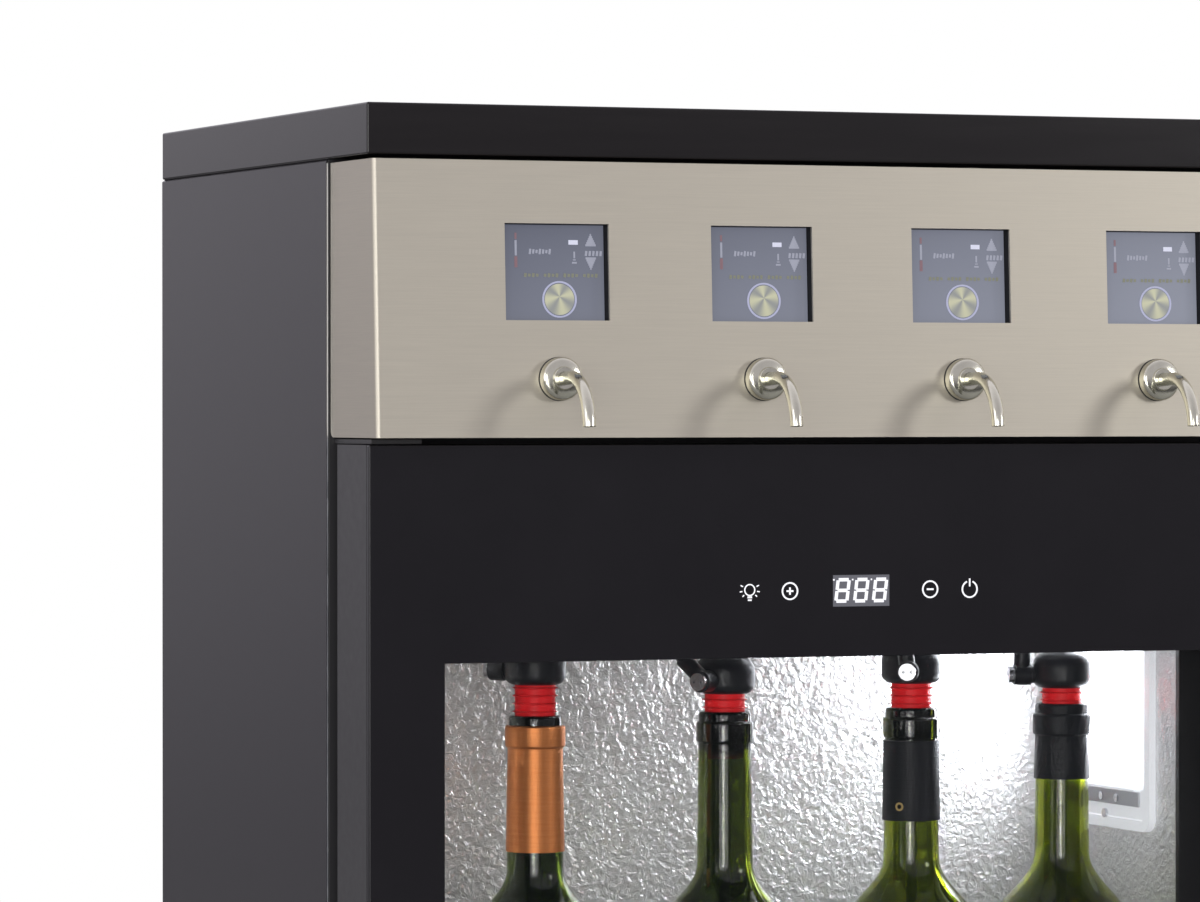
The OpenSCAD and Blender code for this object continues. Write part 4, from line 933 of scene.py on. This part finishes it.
class DISPENSER_OT_taps(bpy.types.Operator):
    """Curved spouts with their turned flanges and nuts"""

    bl_idname = "dispenser.taps"
    bl_label = "Taps"

    def execute(self, context):
        for k in range(4):
            spout = refined(f"spout_{k + 1}", 0.0, 40)
            low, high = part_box(f"spout_{k + 1}")
            for v in spout.data.vertices:
                down = (high.z - v.co.z) / (high.z - low.z)
                v.co.z -= SPOUT_REACH * down**2
        # Flange, stem and nut as one turned profile, its axis along the tap's
        profile = [
            (0.00330, 0.0078), (0.0052, 0.0078), (0.0056, 0.0074), (0.0058, 0.0066),
            (0.0085, 0.0062), (0.0098, 0.0056), (0.0104, 0.0044), (0.0105, 0.0030),
            (0.0105, 0.0006), (0.0102, 0.0001), (0.0050, 0.0), (0.0049, -0.0016),
            (0.0085, -0.0016), (0.0085, -0.0065), (0.0050, -0.0066), (0.0049, -0.012),
            (0.0033, -0.012),
        ]
        whole = bmesh.new()
        for x in TAPS:
            bm = bmesh.new()
            spun(bm, [profile], (0, 0, 0), 64)
            place = BAND @ Matrix.Translation((x, 0, TAP_Z)) @ FACING
            bmesh.ops.transform(bm, matrix=place, verts=bm.verts)
            absorb(whole, bm)
        finish_piece("tap_flanges", whole, "polished_steel", "cabinet", ("spout_fixings",), 40)
        # Thin black rings just outside the flanges' rims: a painted shade line round each flange
        bm = bmesh.new()
        for x in TAPS:
            at = BAND @ Vector((x, 0, TAP_Z))
            add_disc(bm, at, 0.0107, 0.0004, inner=0.0100, sides=64,
                     turn=Matrix.Rotation(math.pi / 2 - BAND_LEAN, 4, "X"))
        finish_piece("tap_washers", bm, "rubber_black")
        return {"FINISHED"}


# -------------------- door


class DISPENSER_OT_door(bpy.types.Operator):
    """Door frame, its two panes, gasket and the printed border"""

    bl_idname = "dispenser.door"
    bl_label = "Door"

    def execute(self, context):
        edge = sizes().pane_edge_mm * MM
        front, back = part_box("door_glass"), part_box("inner_glass")
        box_piece("front_pane", *front, "door_pane", "door", edge, 3, ("door_glass",))
        box_piece("back_pane", *back, "inner_pane", "door", 0.0004, 2, ("inner_glass",))
        refined("door_frame", 0.0006)
        refined("door_gasket", 0.002, segments=4)
        return {"FINISHED"}


# Each segment of a digit: its place across and up, and whether it lies flat
SEGMENTS = (
    (0, 1, 1), (0, 0, 1), (0, -1, 1), (-1, 0.5, 0), (1, 0.5, 0), (-1, -0.5, 0), (1, -0.5, 0),
)


class DISPENSER_OT_readout(bpy.types.Operator):
    """Lamp, plus, minus and power icons and the three digits in the door"""

    bl_idname = "dispenser.readout"
    bl_label = "Readout"

    y = DOOR_Y
    z = 0.4228
    bulb_x, plus_x, minus_x, power_x = -0.0576, -0.036, 0.0403, 0.0621

    def bar(self, bm, x, z, w, h, turn=0.0):
        made = add_box(bm, (-w / 2, -0.0002, -h / 2), (w / 2, 0.0, h / 2))
        place = Matrix.Translation((x, self.y, z)) @ Matrix.Rotation(turn, 4, "Y")
        bmesh.ops.transform(bm, matrix=place, verts=made)

    def ring(self, bm, x, z, radius, line):
        add_disc(bm, (x, self.y, z), radius, 0.0002, inner=radius - line, sides=48)

    def execute(self, context):
        r = sizes().icon_mm * MM / 2
        line = 0.0008
        bm = bmesh.new()
        for x in (self.plus_x, self.minus_x):
            self.ring(bm, x, self.z, r, line)
            self.bar(bm, x, self.z, 0.0037, 0.0009)
            if x == self.plus_x:
                self.bar(bm, x, self.z, 0.0009, 0.0037)
        self.power(bm, self.power_x, r, line)
        self.bulb(bm, self.bulb_x, line)
        finish_piece("door_icons", bm, "pale_glow", "door")
        self.digits()
        refined("door_readout", 0.0003, surface="display_plastic")
        return {"FINISHED"}

    def power(self, bm, x, r, line):
        """An open ring with a stroke through its gap."""
        part = bmesh.new()
        self.ring(part, x, self.z - 0.0002, r, line)
        gap = [
            f for f in part.faces
            if f.calc_center_median().z > self.z + 0.4 * r
            and abs(f.calc_center_median().x - x) < 0.36 * r
        ]
        bmesh.ops.delete(part, geom=gap, context="FACES")
        bmesh.ops.holes_fill(part, edges=[e for e in part.edges if e.is_boundary], sides=0)
        absorb(bm, part)
        self.bar(bm, x, self.z + 0.7 * r, line, 0.9 * r)

    def bulb(self, bm, x, line):
        """A light bulb's outline with six short rays."""
        top = self.z + 0.0008
        self.ring(bm, x, top, 0.0030, line * 0.8)
        self.bar(bm, x, top - 0.0036, 0.0024, 0.0010)
        self.bar(bm, x, top - 0.0050, 0.0020, 0.0008)
        upper, lower = (0.0047, 0.0014), (0.0045, 0.0012)  # distance and length of the rays
        for turn, (out, long) in (
            (-100, upper), (-65, upper), (65, upper), (100, upper), (-130, lower), (130, lower),
        ):
            a = math.radians(turn)
            self.bar(bm, x + out * math.sin(a), top + out * math.cos(a), 0.0006, long, a)

    def digits(self):
        """Three eights on their dim window."""
        centre, half_window, pitch = 0.0026, 0.0153, 0.0102
        low = (centre - half_window, self.y - 0.00012, self.z - 0.0080)
        high = (centre + half_window, self.y, self.z + 0.0076)
        box_piece("digit_window", low, high, "digit_dim", "door")
        bm = bmesh.new()
        wide, tall, line, slant = 0.0030, 0.0053, 0.0017, 0.12
        for k in (-1, 0, 1):
            middle = centre + k * pitch
            for across, up, flat in SEGMENTS:
                z = up * tall
                x = middle + across * wide + slant * z
                w, h = (2 * wide - 0.0006, line) if flat else (line, tall - 0.0006)
                self.bar(bm, x, self.z + z, w, h, slant * (not flat))
            self.bar(bm, middle - 0.0047, self.z + tall, 0.0008, 0.0008)
        finish_piece("digits", bm, "pale_glow", "door")


# -------------------- bottles


def glass_profile():
    """A bottle's outline from its mouth to its base, and its inside from the base up."""
    steps = 14  # along the shoulder

    def ease(t):
        return (1 - math.cos(math.pi * t)) / 2

    out = [(9.5, -0.6), (10.2, 0.0), (12.4, 0.0), (13.2, -0.6), (13.5, -1.6), (13.5, -4.6),
           (13.7, -5.2), (14.4, -5.6), (14.75, -6.4), (14.75, -14.6), (14.4, -15.5),
           (13.8, -15.9), (13.6, -16.6)]
    out += [(13.6 + 0.85 * t, -16.6 - 61.4 * t) for t in (0.25, 0.5, 0.75, 1.0)]
    out += [(14.45 + 23.55 * ease(k / steps), -78 - 40 * k / steps) for k in range(1, steps + 1)]
    out += [(38, -180), (38, -240), (38, -293), (37.2, -296.6), (35.2, -299.2), (33, -300),
            (26.5, -299.6), (22, -294), (15, -285), (8, -279.5), (0, -278)]
    inner = [(0, -272.5), (6, -273.5), (14, -278), (22, -287), (27, -293.5), (31.5, -293.5),
             (34.2, -290), (34.5, -286), (34.5, -180)]
    inner += [(11.1 + 23.4 * ease(k / steps), -78 - 40 * k / steps) for k in range(steps, 0, -1)]
    inner += [(9.6, -72), (9.5, -40)]
    return [[(r * MM, z * MM) for r, z in chain] for chain in (out, inner)]


class DISPENSER_OT_bottles(bpy.types.Operator):
    """Bottles with their wine and capsules"""

    bl_idname = "dispenser.bottles"
    bl_label = "Bottles"

    def execute(self, context):
        whole = bmesh.new()
        for x in BOTTLES:
            bm = bmesh.new()
            spun(bm, glass_profile(), (x, BOTTLE_Y, MOUTH_Z), 80)
            absorb(whole, bm)
        finish_piece("glass_bottles", whole, "green_glass", "cabinet", ("bottles",), 60)
        refined("wine", 0.0, 50)
        self.capsules()
        return {"FINISHED"}

    def capsules(self):
        """Foil over the rings of the first and fourth bottle, and below that of the third."""
        ring = [
            (15.0, -5.5), (15.3, -6.3), (15.3, -14.9), (14.9, -15.8), (14.1, -16.4), (14.0, -17.4),
        ]
        outlines = {
            0: [(13.9, -4.9)] + ring + [(14.9, -68.6)],
            2: [(14.1, -17.0), (14.5, -17.2), (15.1, -58.4)],
            3: [(12.0, 0.35), (13.3, 0.1), (13.9, -0.8), (14.0, -4.8)] + ring + [(14.7, -39.0)],
        }
        bm = bmesh.new()
        for number, outline in outlines.items():
            inside = [(r - 0.22, z) for r, z in reversed(outline)]
            profile = [(r * MM, z * MM) for r, z in outline + inside]
            part = bmesh.new()
            spun(part, [profile], (BOTTLES[number], BOTTLE_Y, MOUTH_Z), 80)
            absorb(bm, part)
        finish_piece("bottle_capsules", bm, "capsule_foil", "cabinet", ("capsules",), 40)
        # Pierced dot in the side of the third capsule
        turn = Matrix.Rotation(math.radians(-48), 4, "Z") @ FACING
        for name, surface, radius, depth, inner in (
            ("capsule_dot", "brass_bar", 0.0022, 0.0004, 0.0012),
            ("capsule_dot_middle", "display_plastic", 0.0012, 0.0003, 0.0),
        ):
            bm = bmesh.new()
            add_disc(bm, CAPSULE_DOT, radius, depth, inner, 32, turn)
            finish_piece(name, bm, surface)


class DISPENSER_OT_stoppers(bpy.types.Operator):
    """Stopper caps, finned cones, gas elbows, bolts and dip tubes"""

    bl_idname = "dispenser.stoppers"
    bl_label = "Stoppers"

    def execute(self, context):
        for k in range(4):
            refined(f"stopper_head_{k + 1}", 0.0004, 40)
        refined("stopper_cones", 0.0, 30)
        refined("gas_elbows", 0.0005, 40)
        refined("banjo_bolts", 0.0004, 40, segments=3)
        refined("dip_tubes", 0.0, 50)
        return {"FINISHED"}


# -------------------- chamber and insides


class DISPENSER_OT_chamber(bpy.types.Operator):
    """Embossed lining, lamp with its row of lights, and the fan cover"""

    bl_idname = "dispenser.chamber"
    bl_label = "Chamber"

    def execute(self, context):
        refined("inner_liner", 0.0, 40)
        refined("fan_cover", 0.0008)
        refined("lamp_cover", 0.0008, segments=3)
        low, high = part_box("lamp_cover")
        lights_low = (low.x - 0.0004, low.y + 0.030, low.z + 0.040)
        lights_high = (low.x + 0.001, high.y - 0.030, high.z - 0.012)
        box_piece("lamp_lights", lights_low, lights_high, "lamp_light", edge=0.0003)
        bm = bmesh.new()
        turn = Matrix.Rotation(-math.pi / 2, 4, "Y")
        screws = ((0.0142, low.z + 0.0075, 0.0024, 0.0014),)
        screws += tuple((y, 0.3065, 0.0021, 0.0016) for y in (0.0, 0.0177))
        for y, z, radius, depth in screws:
            add_disc(bm, (low.x + 0.0002, y, z), radius, depth, sides=32, turn=turn)
        finish_piece("lamp_screws", bm, "screw_steel")
        bar_low, bar_high = (low.x - 0.0006, -0.024, 0.3028), (low.x + 0.001, 0.053, 0.3108)
        box_piece("lamp_bar", bar_low, bar_high, "light_plastic", edge=0.0005)
        return {"FINISHED"}


class DISPENSER_OT_works(bpy.types.Operator):
    """Valves, hoses, cooling, electronics, mains inlet and the drip tray"""

    bl_idname = "dispenser.works"
    bl_label = "Works and tray"

    def execute(self, context):
        # Edge rounding, crease angle and the nodes that have them
        plungers = [f"valve_plunger_{k + 1}" for k in range(4)]
        for edge, crease, nodes in (
            (0.0, 60, ("wine_hoses", "gas_hoses")),
            (0.0, 35, ("cold_fan", "hot_fan", "fan_frames")),
            (0.0003, 32, ("pinch_valves", "gas_manifold", "power_supply", "control_board")),
            (0.0004, 32, plungers),
            (0.0, 32, ("cold_sink", "hot_sink", "valve_deck")),
            (0.0004, 32, ("gas_inlet",)),
            (0.0005, 32, ("mains_inlet", "power_switch")),
            (0.0004, 32, ("drip_tray",)),
            (0.0003, 32, ("drip_grille",)),
        ):
            for node in nodes:
                refined(node, edge, crease)
        return {"FINISHED"}


# -------------------- light on the bottles


class DISPENSER_OT_strip_lamp(bpy.types.Operator):
    """Upright lamp that lights only the bottles and the cones"""

    bl_idname = "dispenser.strip_lamp"
    bl_label = "Strip lamp"

    def execute(self, context):
        power = context.scene.dispenser_light.strip_power
        strip = add_lamp("strip_lamp", power, STRIP_WIDTH, STRIP_PLACE, (0.0, 0.0, 0.3))
        strip.data.shape = "RECTANGLE"
        strip.data.size_y = STRIP_HEIGHT
        lit = bpy.data.collections.new("lit_by_strip_lamp")
        for name in ("glass_bottles", "stopper_cones_finished"):
            lit.objects.link(bpy.data.objects[name])
        strip.light_linking.receiver_collection = lit
        return {"FINISHED"}


# -------------------- panel and registration

OPERATORS = (
    DISPENSER_OT_stage,
    DISPENSER_OT_casing,
    DISPENSER_OT_band,
    DISPENSER_OT_displays,
    DISPENSER_OT_taps,
    DISPENSER_OT_door,
    DISPENSER_OT_readout,
    DISPENSER_OT_bottles,
    DISPENSER_OT_stoppers,
    DISPENSER_OT_chamber,
    DISPENSER_OT_works,
    DISPENSER_OT_strip_lamp,
)


class DISPENSER_PT_panel(bpy.types.Panel):
    """Sizes, light and the steps that dress the dispenser"""

    bl_idname = "DISPENSER_PT_panel"
    bl_label = "Wine dispenser"
    bl_space_type = "VIEW_3D"
    bl_region_type = "UI"
    bl_category = "Dispenser"

    def draw(self, context):
        scene = context.scene
        for group in (scene.dispenser_sizes, scene.dispenser_light):
            column = self.layout.column(align=True)
            for key in group.__annotations__:
                column.prop(group, key)
        for operator in OPERATORS:
            self.layout.operator(operator.bl_idname)


CLASSES = (DispenserSizes, StudioLight, *OPERATORS, DISPENSER_PT_panel)


def register():
    for cls in CLASSES:
        bpy.utils.register_class(cls)
    bpy.types.Scene.dispenser_sizes = bpy.props.PointerProperty(type=DispenserSizes)
    bpy.types.Scene.dispenser_light = bpy.props.PointerProperty(type=StudioLight)


def unregister():
    del bpy.types.Scene.dispenser_light
    del bpy.types.Scene.dispenser_sizes
    for cls in reversed(CLASSES):
        bpy.utils.unregister_class(cls)


def dress_nodes():
    """Gives every CAD node its surface by its slot."""
    for node, item in NODES.items():
        surface = SURFACES[SLOT_OF[node]]
        if not item.material_slots:
            item.data.materials.append(surface)
        for slot in item.material_slots:
            slot.material = surface


def main():
    register()
    scene = bpy.context.scene
    scene.view_settings.view_transform = "Standard"
    SURFACES.update(make_surfaces())
    dress_nodes()
    for operator in OPERATORS:
        group, name = operator.bl_idname.split(".")
        getattr(getattr(bpy.ops, group), name)()


if __name__ == "__main__":
    main()
